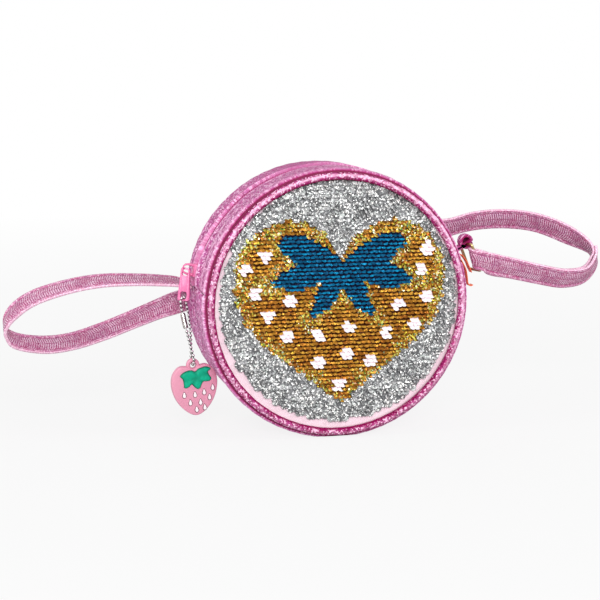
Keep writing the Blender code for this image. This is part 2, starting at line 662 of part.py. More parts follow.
def band(rows, width, wall):
    """Solid flat band, closed at both ends.

    Each row holds a place, the direction of the band's upper edge, and how far that direction is
    squared to the band's run: 1 for a straight band, 0 where the band is drawn askew.
    """
    places = [Vector(row[:3]) for row in rows]
    bm = bmesh.new()
    rings = []
    for number, row in enumerate(rows):
        ahead = places[min(number + 1, len(places) - 1)]
        behind = places[max(number - 1, 0)]
        run = (ahead - behind).normalized()
        edge = Vector(row[3:6]).normalized()
        side = (edge - run * edge.dot(run) * row[6]).normalized()
        flat = run.cross(side).normalized()
        half, thick = width / 2, wall / 2
        corners = [(half, 0.55 * thick), (0.0, thick), (-half, 0.55 * thick),
                   (-half, -0.55 * thick), (0.0, -thick), (half, -0.55 * thick)]
        rings.append([bm.verts.new(places[number] + side * a + flat * b) for a, b in corners])
    for ring, after in zip(rings, rings[1:]):
        for corner in range(6):
            beside = (corner + 1) % 6
            bm.faces.new((ring[corner], ring[beside], after[beside], after[corner]))
    bm.faces.new(rings[0])
    bm.faces.new(list(reversed(rings[-1])))
    return bm


def ring_corners():
    """Corners of the strap ring: near top, far top, far bottom, near bottom."""
    bar = Vector((0.40, 0.154, -0.91)).normalized() * (RING_LONG + 2 * RING_WIRE)
    cross = Vector((-0.36, 0.933, 0.0)).normalized() * (RING_SHORT + 2 * RING_WIRE)
    near_top = Vector((DRUM_RADIUS + RING_OUT, -RING_SHORT / 2 - 0.9 * MM, AXIS_Z + RING_UP))
    return near_top, near_top + cross, near_top + cross + bar, near_top + bar


def build_ring():
    """Rectangular wire ring with round corners."""
    corners = ring_corners()
    bend = 1.3 * MM
    points = []
    for number, corner in enumerate(corners):
        before = (corners[number - 1] - corner).normalized() * bend
        after = (corners[(number + 1) % 4] - corner).normalized() * bend
        for step in range(4):
            turn = math.radians(30 * step)
            points.append(corner + before * (1 - math.sin(turn)) + after * (1 - math.cos(turn)))
    middle = sum(corners, Vector()) / 4
    add_tube("strap_ring", points, RING_WIRE, "pale_gold", middle, cyclic=True)


def build_tab():
    """Folded tab: a loop round the ring's top bar, drawn back to the end seam."""
    near_top, far_top, _, _ = ring_corners()
    lean = (far_top.x - near_top.x) / (far_top.y - near_top.y)
    low = near_top.y + RING_WIRE + GAP + STRAP_WALL + 2 * GAP
    high = far_top.y - RING_WIRE - 2 * GAP
    root = on_drum(RIGHT_SEAM, DRUM_RADIUS + GAP, 0.0)
    turn = math.radians(RIGHT_SEAM)
    seam = Vector((-math.sin(turn), 0.0, math.cos(turn)))
    bm = bmesh.new()
    loops = []
    for y in (low, high):
        bar_x = near_top.x + (y - near_top.y) * lean
        centre = Vector((bar_x + 0.6 * MM, y, near_top.z - RING_WIRE - 2 * GAP + TAB_HOLE_HEIGHT / 2))
        inner, outer = [], []
        for step in range(20):
            angle = math.radians(18 * step)
            ray = Vector((math.cos(angle), 0.0, math.sin(angle)))
            across, tall = ray.x * TAB_HOLE_WIDTH / 2, ray.z * TAB_HOLE_HEIGHT / 2
            inner.append(centre + Vector((across, 0.0, tall)))
            outer.append(centre + Vector((across + ray.x * TAB_WALL, 0.0, tall + ray.z * TAB_WALL)))
        stem = Vector((root.x, y, root.z))
        outer[10] = stem + seam * TAB_WALL
        outer[11] = stem - seam * TAB_WALL
        loops.append(([bm.verts.new(p) for p in inner], [bm.verts.new(p) for p in outer]))
    (inner_a, outer_a), (inner_b, outer_b) = loops
    for step in range(20):
        after = (step + 1) % 20
        bm.faces.new((inner_a[step], inner_a[after], outer_a[after], outer_a[step]))
        bm.faces.new((inner_b[after], inner_b[step], outer_b[step], outer_b[after]))
        bm.faces.new((outer_a[step], outer_a[after], outer_b[after], outer_b[step]))
        bm.faces.new((inner_a[after], inner_a[step], inner_b[step], inner_b[after]))
    add_object("strap_tab", bm, "glitter_pink")


def left_loop():
    """Stations of the left loop, from the sewn end out and back to behind the drum.

    Each row holds millimetres outward from the drum's side, back from its middle and up from its
    axis, then the direction of the band's upper edge.
    """
    shift = STRAP_SHIFT / MM
    rows = [
        (0.5, shift, 9.3, 0.0, 1.0, 0.05), (8.2, shift, 11.9, 0.15, 0.93, 0.2),
        (21.0, shift, 13.4, 0.15, 0.93, 0.28), (36.0, shift + 0.5, 14.3, 0.15, 0.92, 0.32),
        (58.5, shift + 2, 14.2, 0.12, 0.9, 0.4), (79.5, shift + 4, 11.0, 0.05, 0.88, 0.45),
        (104.2, shift + 8, 2.9, -0.12, 0.87, 0.46), (116.2, shift + 11, -5.8, -0.25, 0.9, 0.35),
        (121.5, shift + 13, -13.5, -0.15, 0.98, 0.1), (121.9, shift + 15, -19.8, 0.12, 0.97, -0.1),
        (117.0, shift + 17.5, -25.8, 0.35, 0.85, 0.3), (97.2, shift + 20.5, -30.6, 0.15, 0.8, 0.6),
        (78.4, shift + 23, -29.7, 0.0, 0.8, 0.6), (56.4, shift + 26, -24.2, -0.1, 0.78, 0.62),
        (32.2, shift + 29, -16.0, -0.1, 0.74, 0.66), (15.0, shift + 31, -10.2, -0.1, 0.6, 0.78),
    ]
    return [(-(DRUM_RADIUS + out * MM), y * MM, AXIS_Z + up * MM, *edge, 1.0)
            for out, y, up, *edge in rows]


def back_run():
    """Stations where the strap lies flat behind the drum."""
    y = BACK_OF_PIPING + GAP + STRAP_WALL / 2 + 0.3 * MM
    ends = [(-1.0, -5.5), (-0.62, 1.5), (-0.2, 9.5), (0.25, 20.5), (0.66, 31.5), (0.92, 37.0)]
    return [(DRUM_RADIUS * share, y, AXIS_Z + up * MM, -0.22, 0.0, 0.97, 1.0) for share, up in ends]


def right_side(rows):
    """World rows from millimetres outward from the drum's side, back, and up from its axis."""
    return [(DRUM_RADIUS + out * MM, y * MM, AXIS_Z + up * MM, *rest) for out, y, up, *rest in rows]


def right_loop():
    """Stations of the right loop from behind the drum to the far bend."""
    return right_side([
        (11.0, 40.5, 40.0, -0.42, -0.45, 0.8, 1.0), (29.4, 37.0, 44.6, -0.3, -0.4, 0.87, 1.0),
        (51.0, 33.0, 45.8, -0.1, -0.4, 0.9, 1.0), (71.8, 28.5, 43.1, 0.1, -0.5, 0.85, 1.0),
        (91.5, 22.5, 35.4, 0.28, -0.6, 0.74, 1.0)])


def front_leg():
    """Stations of the outer layer, from the ring to its sewn end on the far bend."""
    return right_side([
        (27.0, -7.4, 19.4, 0.02, -0.25, 0.96, 0.6), (42.0, -6.3, 15.8, 0.12, -0.36, 0.92, 1.0),
        (62.0, -4.2, 10.8, 0.05, -0.45, 0.9, 1.0), (84.0, 0.0, 6.5, -0.15, -0.5, 0.85, 1.0),
        (101.5, 5.6, 8.4, -0.3, -0.65, 0.68, 1.0), (110.5, 10.6, 17.8, -0.4, -0.75, 0.53, 1.0),
        (110.0, 13.6, 26.0, -0.2, -0.78, 0.5, 1.0)])


def layer_behind(rows):
    """Rows of the layer that lies against the outer one, in the other direction."""
    apart = STRAP_WALL + LAYER_GAP
    out = []
    for number, row in enumerate(rows):
        ahead = Vector(rows[min(number + 1, len(rows) - 1)][:3])
        behind = Vector(rows[max(number - 1, 0)][:3])
        edge = Vector(row[3:6]).normalized()
        inward = edge.cross(ahead - behind).normalized()
        place = Vector(row[:3]) + inward * apart - edge * LAYER_DROP
        out.append((*place, *row[3:]))
    return list(reversed(out))


def ring_fold():
    """Stations of the fold round the ring's near bar."""
    near_top, _, _, near_low = ring_corners()
    upward = Vector((-0.31, -0.154, 0.94)).normalized()
    away = Vector((0.965, 0.0, -0.26)).normalized()
    back = upward.cross(away).normalized()
    middle = (near_top + near_low) / 2 - away * FOLD_SLACK - upward * FOLD_SLACK
    reach = RING_WIRE + GAP + STRAP_WALL / 2
    rows = [(*(middle + back * reach + away * 4.0 * MM), *upward, 0.0)]
    for step in range(7):
        turn = math.radians(30 * step)
        place = middle + (back * math.cos(turn) - away * math.sin(turn)) * reach
        rows.append((*place, *upward, 0.0))
    return rows + [(*(middle - back * reach + away * 4.0 * MM), *upward, 0.0)]


def build_strap():
    """One band from the left end seam round both loops, through the ring and back."""
    leg = front_leg()
    rows = left_loop() + back_run() + right_loop() + layer_behind(leg) + ring_fold() + leg
    add_object("shoulder_strap", band(smooth_curve(rows, 3), STRAP_WIDTH, STRAP_WALL), "glitter_mauve")


def build_tag():
    """Plain ribbon folded double over the right end seam, its two leaves hanging apart."""
    leaves = [(6.5, 17.1), (5.6, 21.0), (4.6, 25.0), (3.0, 28.6), (1.5, 29.6), (0.8, 27.5), (1.6, 24.0),
              (2.8, 19.5), (2.9, 14.0), (3.0, 9.6), (4.4, 8.0), (6.3, 8.6)]
    y = -HALF_DEPTH + EDGE_ROUND + TAG_WIDTH
    rows = []
    for out, up in leaves:
        radius = math.sqrt(DRUM_RADIUS ** 2 - (up * MM) ** 2)
        rows.append((radius + out * MM, y, AXIS_Z + up * MM, 0.0, 1.0, 0.0, 1.0))
    add_object("ribbon_tag", band(smooth_curve(rows, 2), TAG_WIDTH, TAG_WALL), "orange_ribbon")


def motif_plate(outline, layer):
    """Thin plate in front of the sequin patch; layer 0 lies on it, layer 1 on that."""
    place = Vector((0.0, 0.0, AXIS_Z))
    base = HALF_DEPTH - PANEL_RECESS + GAP + PATCH_WALL + GAP + layer * (MOTIF_WALL + GAP)
    return plate(outline, place, Vector((1.0, 0.0, 0.0)), Vector((0.0, 0.0, 1.0)),
                 Vector((0.0, -1.0, 0.0)), base, base + MOTIF_WALL)


def mirrored_outline(cleft, half, low):
    """Loop of (x, up) points in millimetres, mirrored about the line through its cleft and low point."""
    other = [(2.0 * cleft[0] - x, up) for x, up in reversed(half)]
    return [cleft, *half, low, *other]


def heart_outline():
    """Heart of (x, up) points: a smooth loop through its turning points."""
    half = [(9.0, 41.0), (22.0, 52.0), (38.0, 55.5), (55.0, 50.0), (68.0, 37.0), (73.0, 16.0), (69.0, -4.0),
            (57.0, -22.0), (38.0, -38.0), (19.0, -52.0)]
    loop = mirrored_outline((2.0, 28.5), half, (2.0, -65.0))
    return [(x * ARTWORK_UNIT, up * ARTWORK_UNIT) for x, up in smooth_curve(loop, 3, closed=True)]


def leaf_outline():
    """Leaf crown of (x, up) points: six pointed leaves round the heart's cleft."""
    half = [(12.0, 37.0), (27.0, 45.5), (44.0, 46.0), (46.5, 39.0), (34.0, 28.0), (54.0, 15.0), (42.0, 11.0),
            (29.0, 11.0), (18.0, 15.0), (25.0, -9.0), (10.0, -1.0)]
    loop = mirrored_outline((3.0, 28.5), half, (3.0, 10.0))
    return [(x * ARTWORK_UNIT, up * ARTWORK_UNIT) for x, up in loop]


def build_sequins():
    """Sequin field and the heart and leaves that lie on it."""
    front = HALF_DEPTH - PANEL_RECESS + GAP
    outline = circle_outline(PATCH_RADIUS, 0.0, PATCH_CRESCENT, DRUM_STEPS)
    field = plate(outline, Vector((0.0, 0.0, AXIS_Z)), Vector((1.0, 0.0, 0.0)), Vector((0.0, 0.0, 1.0)),
                  Vector((0.0, -1.0, 0.0)), front, front + PATCH_WALL)
    add_object("sequin_patch", field, "silver_sequin")
    add_object("sequin_heart", motif_plate(heart_outline(), 0), "gold_sequin")
    add_object("sequin_leaves", motif_plate(leaf_outline(), 1), "blue_sequin")


def main():
    """Build every piece of the bag."""
    clear_scene()
    build_gussets()
    build_panels()
    build_piping()
    build_lining()
    build_sequins()
    build_zip_track()
    build_slider()
    build_pull()
    build_chain()
    build_charm()
    build_ring()
    build_tab()
    build_strap()
    build_tag()


main()
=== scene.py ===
"""Visual model of a round shoulder bag: pieces, finishes, camera and light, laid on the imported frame."""

from __future__ import annotations

import json
import logging
import math
import random
from contextlib import contextmanager
from dataclasses import dataclass
from enum import Enum
from typing import Iterator, Mapping, Sequence

import bpy
import numpy as np
from mathutils import Matrix, Vector

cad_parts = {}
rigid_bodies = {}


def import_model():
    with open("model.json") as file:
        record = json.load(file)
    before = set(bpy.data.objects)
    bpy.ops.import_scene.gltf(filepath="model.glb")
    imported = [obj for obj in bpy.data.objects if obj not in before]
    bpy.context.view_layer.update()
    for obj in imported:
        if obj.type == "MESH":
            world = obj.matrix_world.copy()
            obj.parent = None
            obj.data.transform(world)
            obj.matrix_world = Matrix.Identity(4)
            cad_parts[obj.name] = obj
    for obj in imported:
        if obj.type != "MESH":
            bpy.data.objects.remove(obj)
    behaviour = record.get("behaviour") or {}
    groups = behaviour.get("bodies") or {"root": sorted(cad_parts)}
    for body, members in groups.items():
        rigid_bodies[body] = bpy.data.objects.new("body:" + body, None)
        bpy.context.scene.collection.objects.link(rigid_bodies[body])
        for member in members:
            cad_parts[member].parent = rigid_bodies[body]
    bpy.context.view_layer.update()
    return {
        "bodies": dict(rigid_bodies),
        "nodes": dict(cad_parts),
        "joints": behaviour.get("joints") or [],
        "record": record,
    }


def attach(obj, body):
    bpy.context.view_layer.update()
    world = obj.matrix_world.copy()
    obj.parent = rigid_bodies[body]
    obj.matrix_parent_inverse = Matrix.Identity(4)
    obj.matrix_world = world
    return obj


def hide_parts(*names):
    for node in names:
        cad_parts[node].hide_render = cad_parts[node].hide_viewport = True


LOG = logging.getLogger("shoulder_bag")
MM = 0.001
MERGE = 0.01 * MM
UPWARD = Vector((0.0, 0.0, 1.0))
AXIS = Vector((0.0, 1.0, 0.0))
SIDES = (("front", -1), ("back", 1))
Piece = bpy.types.Object
Span = tuple[float, float]
Row = tuple[float, ...]
Colour = tuple[float, float, float, float]


def tone(red: float, green: float, blue: float) -> Colour:
    """Turn a colour on the 0 to 255 screen scale into the linear values that a shader reads.

    Args:
        red: Red on the screen scale.
        green: Green on the screen scale.
        blue: Blue on the screen scale.

    Returns:
        Linear red, green, blue and a full alpha.
    """
    linear = []
    for part in (red, green, blue):
        share = part / 255.0
        linear.append(share / 12.92 if share <= 0.04045 else ((share + 0.055) / 1.055) ** 2.4)
    return linear[0], linear[1], linear[2], 1.0


def smooth_curve(points: Sequence[Sequence[float]], per_span: int, closed: bool = False) -> list[np.ndarray]:
    """Centripetal Catmull-Rom curve through rows of numbers.

    Args:
        points: Rows whose first three numbers, or first two, are a place.
        per_span: Steps from one row to the next.
        closed: Whether the last row joins the first.

    Returns:
        Rows along the curve.
    """
    rows = [np.array(row, float) for row in points]
    if closed:
        rows = [rows[-1], *rows, *rows[:2]]
    else:
        rows = [2 * rows[0] - rows[1], *rows, 2 * rows[-1] - rows[-2]]
    curve = []
    for p0, p1, p2, p3 in zip(rows, rows[1:], rows[2:], rows[3:]):
        t1 = max(np.linalg.norm((p1 - p0)[:3]), 1e-9) ** 0.5
        t2 = t1 + max(np.linalg.norm((p2 - p1)[:3]), 1e-9) ** 0.5
        t3 = t2 + max(np.linalg.norm((p3 - p2)[:3]), 1e-9) ** 0.5
        for step in range(per_span):
            t = t1 + (t2 - t1) * step / per_span
            a1 = ((t1 - t) * p0 + t * p1) / t1
            a2 = ((t2 - t) * p1 + (t - t1) * p2) / (t2 - t1)
            a3 = ((t3 - t) * p2 + (t - t2) * p3) / (t3 - t2)
            b1 = ((t2 - t) * a1 + t * a2) / t2
            b2 = ((t3 - t) * a2 + (t - t1) * a3) / (t3 - t1)
            curve.append(((t2 - t) * b1 + (t - t1) * b2) / (t2 - t1))
    if not closed:
        curve.append(rows[-2])
    return curve


def fade(values: np.ndarray, low: float, high: float) -> np.ndarray:
    """Rise smoothly from 0 where the values are low to 1 where they are high."""
    share = np.clip((np.asarray(values, float) - low) / (high - low), 0.0, 1.0)
    return share * share * (3.0 - 2.0 * share)


def hump(values: np.ndarray, middle: float, width: float | np.ndarray) -> np.ndarray:
    """Make a bell that is 1 at its middle and about a third at its width."""
    return np.exp(-((values - middle) / width) ** 2)


@dataclass(frozen=True)
class Drum:
    """Sizes of the bag's drum that several sub-assemblies share, in metres and degrees."""

    radius: float = 90.0 * MM
    axis_height: float = 88.5 * MM
    half_depth: float = 33.8 * MM
    middle_radius: float = 89.2 * MM
    middle_sag: float = 0.8 * MM
    edge_round: float = 4.3 * MM
    edge_radius: float = 87.9 * MM
    wall: float = 1.8 * MM
    panel_radius: float = 86.2 * MM
    panel_face: float = 33.6 * MM
    left_seam: float = 174.0
    right_seam: float = 17.0
    mouth: float = 5.0 * MM

    @property
    def centre(self) -> Vector:
        """Middle of the drum."""
        return Vector((0.0, 0.0, self.axis_height))

    def at(self, angle: float, radius: float, depth: float) -> Vector:
        """Find the place at degrees from +X towards +Z, and metres from the axis and along it."""
        turn = math.radians(angle)
        return Vector((radius * math.cos(turn), depth, self.axis_height + radius * math.sin(turn)))

    def out(self, angle: float) -> Vector:
        """Find the way straight out of the drum at an angle."""
        return (self.at(angle, 1.0, 0.0) - self.at(angle, 0.0, 0.0)).normalized()

    def wall_radius(self, depth: float) -> float:
        """Find the side wall's outer radius, a shallow sag between two round ridges.

        Args:
            depth: Place along the axis.

        Returns:
            The radius there.
        """
        ridge = self.half_depth - self.edge_round
        reach = abs(depth)
        if reach <= ridge:
            return self.middle_radius + self.middle_sag * (1 - math.cos(math.pi * reach / ridge)) / 2
        share = (reach - ridge) / self.edge_round
        return self.edge_radius + (self.radius - self.edge_radius) * math.sqrt(max(1 - share * share, 0.0))

    def polar(self, places: np.ndarray) -> tuple[np.ndarray, np.ndarray]:
        """Find the radius and the angle in degrees of many places round the drum's axis."""
        across, up = places[:, 0], places[:, 2] - self.axis_height
        return np.hypot(across, up), np.degrees(np.arctan2(up, across)) % 360.0

    def put(self, places: np.ndarray, radius: np.ndarray, turn: np.ndarray) -> None:
        """Move places across the axis to a radius and a turn in radians, at the depths they have."""
        places[:, 0] = radius * np.cos(turn)
        places[:, 2] = self.axis_height + radius * np.sin(turn)


DRUM = Drum()


class Bench:
    """Modelling steps that the pieces share, each done with Blender's own operators."""

    @staticmethod
    def clear() -> None:
        """Leave edit mode and deselect everything."""
        if bpy.context.object is not None and bpy.context.object.mode != "OBJECT":
            bpy.ops.object.mode_set(mode="OBJECT")
        bpy.ops.object.select_all(action="DESELECT")

    @staticmethod
    def select(piece: Piece) -> None:
        """Select one piece alone and make it active.

        Args:
            piece: The piece.
        """
        Bench.clear()
        piece.select_set(True)
        bpy.context.view_layer.objects.active = piece

    @staticmethod
    @contextmanager
    def editing(piece: Piece) -> Iterator[None]:
        """Open one piece in edit mode with all of it selected, and leave the mode afterwards.

        Args:
            piece: The piece.

        Returns:
            The time that the piece is open, for a with statement.
        """
        Bench.select(piece)
        bpy.ops.object.mode_set(mode="EDIT")
        bpy.ops.mesh.select_all(action="SELECT")
        yield
        bpy.ops.object.mode_set(mode="OBJECT")

    @staticmethod
    def settle(name: str) -> Piece:
        """Name the active object and put its place and turn into its mesh.

        Args:
            name: Name of the piece.

        Returns:
            The piece, at the origin.
        """
        piece = bpy.context.object
        if piece.mode != "OBJECT":
            bpy.ops.object.mode_set(mode="OBJECT")
        piece.name = name
        piece.data.name = name
        Bench.select(piece)
        bpy.ops.object.transform_apply(location=True, rotation=True, scale=True)
        return piece

    @staticmethod
    def link(name: str, data: bpy.types.ID) -> Piece:
        """Put a mesh, camera or light into the scene as an object of that name.

        Args:
            name: Name of the object.
            data: Its data.

        Returns:
            The object.
        """
        placed = bpy.data.objects.new(name, data)
        bpy.context.scene.collection.objects.link(placed)
        return placed

    @staticmethod
    def mesh(name: str, places: Sequence[Sequence[float]], faces: Sequence[tuple[int, ...]]) -> Piece:
        """Make a piece of corners and faces that follow a rule.

        Args:
            name: Name of the piece.
            places: Its corners.
            faces: Corner numbers of each face.

        Returns:
            The piece.
        """
        mesh = bpy.data.meshes.new(name)
        mesh.from_pydata(places, [], faces)
        return Bench.link(name, mesh)

    @staticmethod
    def chain(name: str, points: Sequence[Vector], filled: bool = False) -> Piece:
        """Draw a line of edges by extruding one vertex from point to point.

        Args:
            name: Name of the piece.
            points: Places along the line.
            filled: Whether the line is closed and filled with a face.

        Returns:
            The piece.
        """
        Bench.clear()
        bpy.ops.mesh.primitive_plane_add(size=MM)
        bpy.ops.object.mode_set(mode="EDIT")
        bpy.ops.mesh.merge(type="CENTER")
        bpy.ops.transform.translate(value=points[0])
        for here, after in zip(points, points[1:]):
            bpy.ops.mesh.extrude_region_move(TRANSFORM_OT_translate={"value": after - here})
        if filled:
            bpy.ops.mesh.select_all(action="SELECT")
            bpy.ops.mesh.edge_face_add()
        return Bench.settle(name)

    @staticmethod
    def spin(piece: Piece, centre: Vector, axis: Vector, degrees: float, steps: int) -> None:
        """Sweep a piece's line round an axis and merge what meets.

        Args:
            piece: Piece that holds the line.
            centre: A place on the axis.
            axis: Direction of the axis.
            degrees: Angle of the sweep.
            steps: Number of steps.
        """
        with Bench.editing(piece):
            bpy.ops.mesh.spin(steps=steps, angle=math.radians(degrees), center=centre, axis=axis)
            bpy.ops.mesh.select_all(action="SELECT")
            bpy.ops.mesh.remove_doubles(threshold=MERGE)

    @staticmethod
    def sweep(name: str, line: Sequence[Vector], degrees: float, steps: int) -> Piece:
        """Sweep a line round the drum into an open sheet whose faces look away from the axis.

        Args:
            name: Name of the piece.
            line: Places along the line.
            degrees: Angle of the sweep, towards rising angles.
            steps: Number of steps.

        Returns:
            The sheet.
        """
        piece = Bench.chain(name, line)
        Bench.spin(piece, DRUM.centre, AXIS, degrees, steps)
        with Bench.editing(piece):
            bpy.ops.mesh.normals_make_consistent(inside=False)
        faces = piece.data.polygons
        away = [face.center * Vector((1.0, 0.0, 1.0)) - DRUM.centre for face in faces]
        if sum(face.normal.dot(way) * face.area for face, way in zip(faces, away)) < 0:
            with Bench.editing(piece):
                bpy.ops.mesh.flip_normals()
        return piece

    @staticmethod
    def raise_face(piece: Piece, shift: Vector) -> None:
        """Extrude all of a flat piece into a closed slab.

        Args:
            piece: The flat piece.
            shift: Way and length of the extrusion.
        """
        with Bench.editing(piece):
            bpy.ops.mesh.extrude_region_move(TRANSFORM_OT_translate={"value": shift})
        Bench.face_out(piece)

    @staticmethod
    def inset_facing(piece: Piece, direction: Vector, steps: Sequence[Span]) -> None:
        """Inset the faces that look one way, again and again, and lift each inner part.

        Args:
            piece: Closed piece.
            direction: Way that the chosen faces look.
            steps: Width and lift of each inset.
        """
        with Bench.editing(piece):
            bpy.ops.mesh.select_all(action="DESELECT")
        for face in piece.data.polygons:
            face.select = face.normal.dot(direction) > 0.99
        bpy.ops.object.mode_set(mode="EDIT")
        bpy.ops.mesh.select_mode(type="FACE")
        for width, lift in steps:
            bpy.ops.mesh.inset(thickness=width, depth=lift)
        bpy.ops.mesh.select_mode(type="VERT")
        bpy.ops.object.mode_set(mode="OBJECT")

    @staticmethod
    def face_out(piece: Piece) -> None:
        """Merge a closed piece's doubles and turn its faces outwards.

        Args:
            piece: The piece.
        """
        with Bench.editing(piece):
            bpy.ops.mesh.remove_doubles(threshold=MERGE)
            bpy.ops.mesh.normals_make_consistent(inside=False)

    @staticmethod
    def modify(piece: Piece, kind: str, **settings: object) -> None:
        """Add a modifier and apply it.

        Args:
            piece: Piece to change.
            kind: Blender's name of the modifier.
            settings: Its settings.
        """
        Bench.select(piece)
        added = piece.modifiers.new(kind.lower(), kind)
        for key, value in settings.items():
            setattr(added, key, value)
        bpy.ops.object.modifier_apply(modifier=added.name)

    @staticmethod
    def round_edges(piece: Piece, width: float, segments: int = 3, angle: float = 40.0) -> None:
        """Round a piece's sharp edges."""
        Bench.modify(piece, "BEVEL", width=width, segments=segments, limit_method="ANGLE",
                     angle_limit=math.radians(angle), harden_normals=False)

    @staticmethod
    def smooth(piece: Piece, angle: float = 50.0) -> None:
        """Shade a piece smooth except at edges sharper than an angle."""
        Bench.select(piece)
        bpy.ops.object.shade_smooth_by_angle(angle=math.radians(angle))

    @staticmethod
    def tube(name: str, points: Sequence[Vector], radius: float, closed: bool = False,
             sides: int = 4, swell: Sequence[float] | None = None) -> Piece:
        """Draw a round wire along a line.

        Args:
            name: Name of the piece.
            points: Places along the wire's middle.
            radius: Half the wire's thickness.
            closed: Whether the wire is a ring.
            sides: Half the number of sides less two, as Blender's bevel resolution counts them.
            swell: How many times thicker the wire is at each point.

        Returns:
            The piece as a mesh.
        """
        piece = Bench.chain(name, [*points, *(points[:1] if closed else [])])
        with Bench.editing(piece):
            bpy.ops.mesh.remove_doubles(threshold=MERGE)
        bpy.ops.object.convert(target="CURVE")
        curve = bpy.context.object.data
        curve.dimensions = "3D"
        curve.bevel_depth = radius
        curve.bevel_resolution = sides
        curve.use_fill_caps = not closed
        for place, factor in zip(curve.splines[0].points, swell or []):
            place.radius = factor
        bpy.ops.object.convert(target="MESH")
        piece = Bench.settle(name)
        Bench.face_out(piece)
        Bench.smooth(piece, 60.0)
        return piece

    @staticmethod
    def merged_copy(node: Piece, name: str) -> Piece:
        """Copy a CAD node's mesh and join its loose triangles.

        Args:
            node: CAD node.
            name: Name of the copy.

        Returns:
            The copy, with flat faces joined.
        """
        piece = Bench.link(name, node.data.copy())
        piece.data.name = name
        piece.data.materials.clear()
        with Bench.editing(piece):
            bpy.ops.mesh.customdata_custom_splitnormals_clear()
            bpy.ops.mesh.remove_doubles(threshold=MERGE / 2)
            bpy.ops.mesh.dissolve_limited(angle_limit=math.radians(3.0))
        return piece

    @staticmethod
    def places(piece: Piece) -> np.ndarray:
        """Read a piece's vertices as rows of x, y and z.

        Args:
            piece: The piece.

        Returns:
            One row for each vertex.
        """
        flat = np.empty(len(piece.data.vertices) * 3)
        piece.data.vertices.foreach_get("co", flat)
        return flat.reshape(-1, 3)

    @staticmethod
    def move(piece: Piece, places: np.ndarray) -> None:
        """Put a piece's vertices at new places."""
        piece.data.vertices.foreach_set("co", places.ravel())
        piece.data.update()

    @staticmethod
    def mark(piece: Piece, name: str, values: np.ndarray) -> None:
        """Store one number at each vertex for the piece's material to read."""
        attribute = piece.data.attributes.new(name, "FLOAT", "POINT")
        attribute.data.foreach_set("value", np.asarray(values, float))

    @staticmethod
    def mark_run(piece: Piece, run: np.ndarray, width: np.ndarray) -> None:
        """Store in millimetres how many metres along and across a strip each vertex lies."""
        Bench.mark(piece, "run", run / MM)
        Bench.mark(piece, "width", width / MM)


@dataclass
class Stamp:
    """A small modelled shape that is copied to many places in one mesh."""

    places: np.ndarray
    faces: list[tuple[int, ...]]

    @classmethod
    def take(cls, piece: Piece) -> Stamp:
        """Keep a piece's shape and remove the piece.

        Args:
            piece: Modelled shape, about the origin.

        Returns:
            The shape, ready to be copied.
        """
        stamp = cls(Bench.places(piece), [tuple(face.vertices) for face in piece.data.polygons])
        bpy.data.objects.remove(piece)
        return stamp

    def repeat(self, name: str, spots: Sequence[Matrix],
               marks: Mapping[str, Sequence[float]] | None = None) -> Piece:
        """Copy the shape to each place.

        Args:
            name: Name of the piece.
            spots: Place and turn of each copy.
            marks: Numbers to store, one for each copy.

        Returns:
            One piece that holds all copies, marked with each vertex's share of the shape's depth and height.
        """
        count = len(self.places)
        padded = np.hstack([self.places, np.ones((count, 1))])
        places = np.vstack([(padded @ np.array(spot).T)[:, :3] for spot in spots])
        faces = [tuple(corner + number * count for corner in face)
                 for number in range(len(spots)) for face in self.faces]
        piece = Bench.mesh(name, places.tolist(), faces)
        for key, axis in (("rise", 1), ("tall", 2)):
            share = (self.places[:, axis] - self.places[:, axis].min()) / np.ptp(self.places[:, axis])
            Bench.mark(piece, key, np.tile(share, len(spots)))
        for key, values in (marks or {}).items():
            Bench.mark(piece, key, np.repeat(np.asarray(values, float), count))
        return piece


class Reading:
    """One shader socket that takes part in sums as a number does."""

    def __init__(self, paint: Paint, socket: bpy.types.NodeSocket) -> None:
        """Wrap an output socket of a material under construction."""
        self.paint = paint
        self.socket = socket

    def __add__(self, other: Reading | float) -> Reading:
        """Add."""
        return self.paint.maths("ADD", self, other)

    def __radd__(self, other: float) -> Reading:
        """Add to a number."""
        return self.paint.maths("ADD", other, self)

    def __sub__(self, other: Reading | float) -> Reading:
        """Subtract."""
        return self.paint.maths("SUBTRACT", self, other)

    def __rsub__(self, other: float) -> Reading:
        """Subtract from a number."""
        return self.paint.maths("SUBTRACT", other, self)

    def __mul__(self, other: Reading | float) -> Reading:
        """Multiply."""
        return self.paint.maths("MULTIPLY", self, other)

    def __rmul__(self, other: float) -> Reading:
        """Multiply a number."""
        return self.paint.maths("MULTIPLY", other, self)

    def __abs__(self) -> Reading:
        """Drop the sign."""
        return self.paint.maths("ABSOLUTE", self)


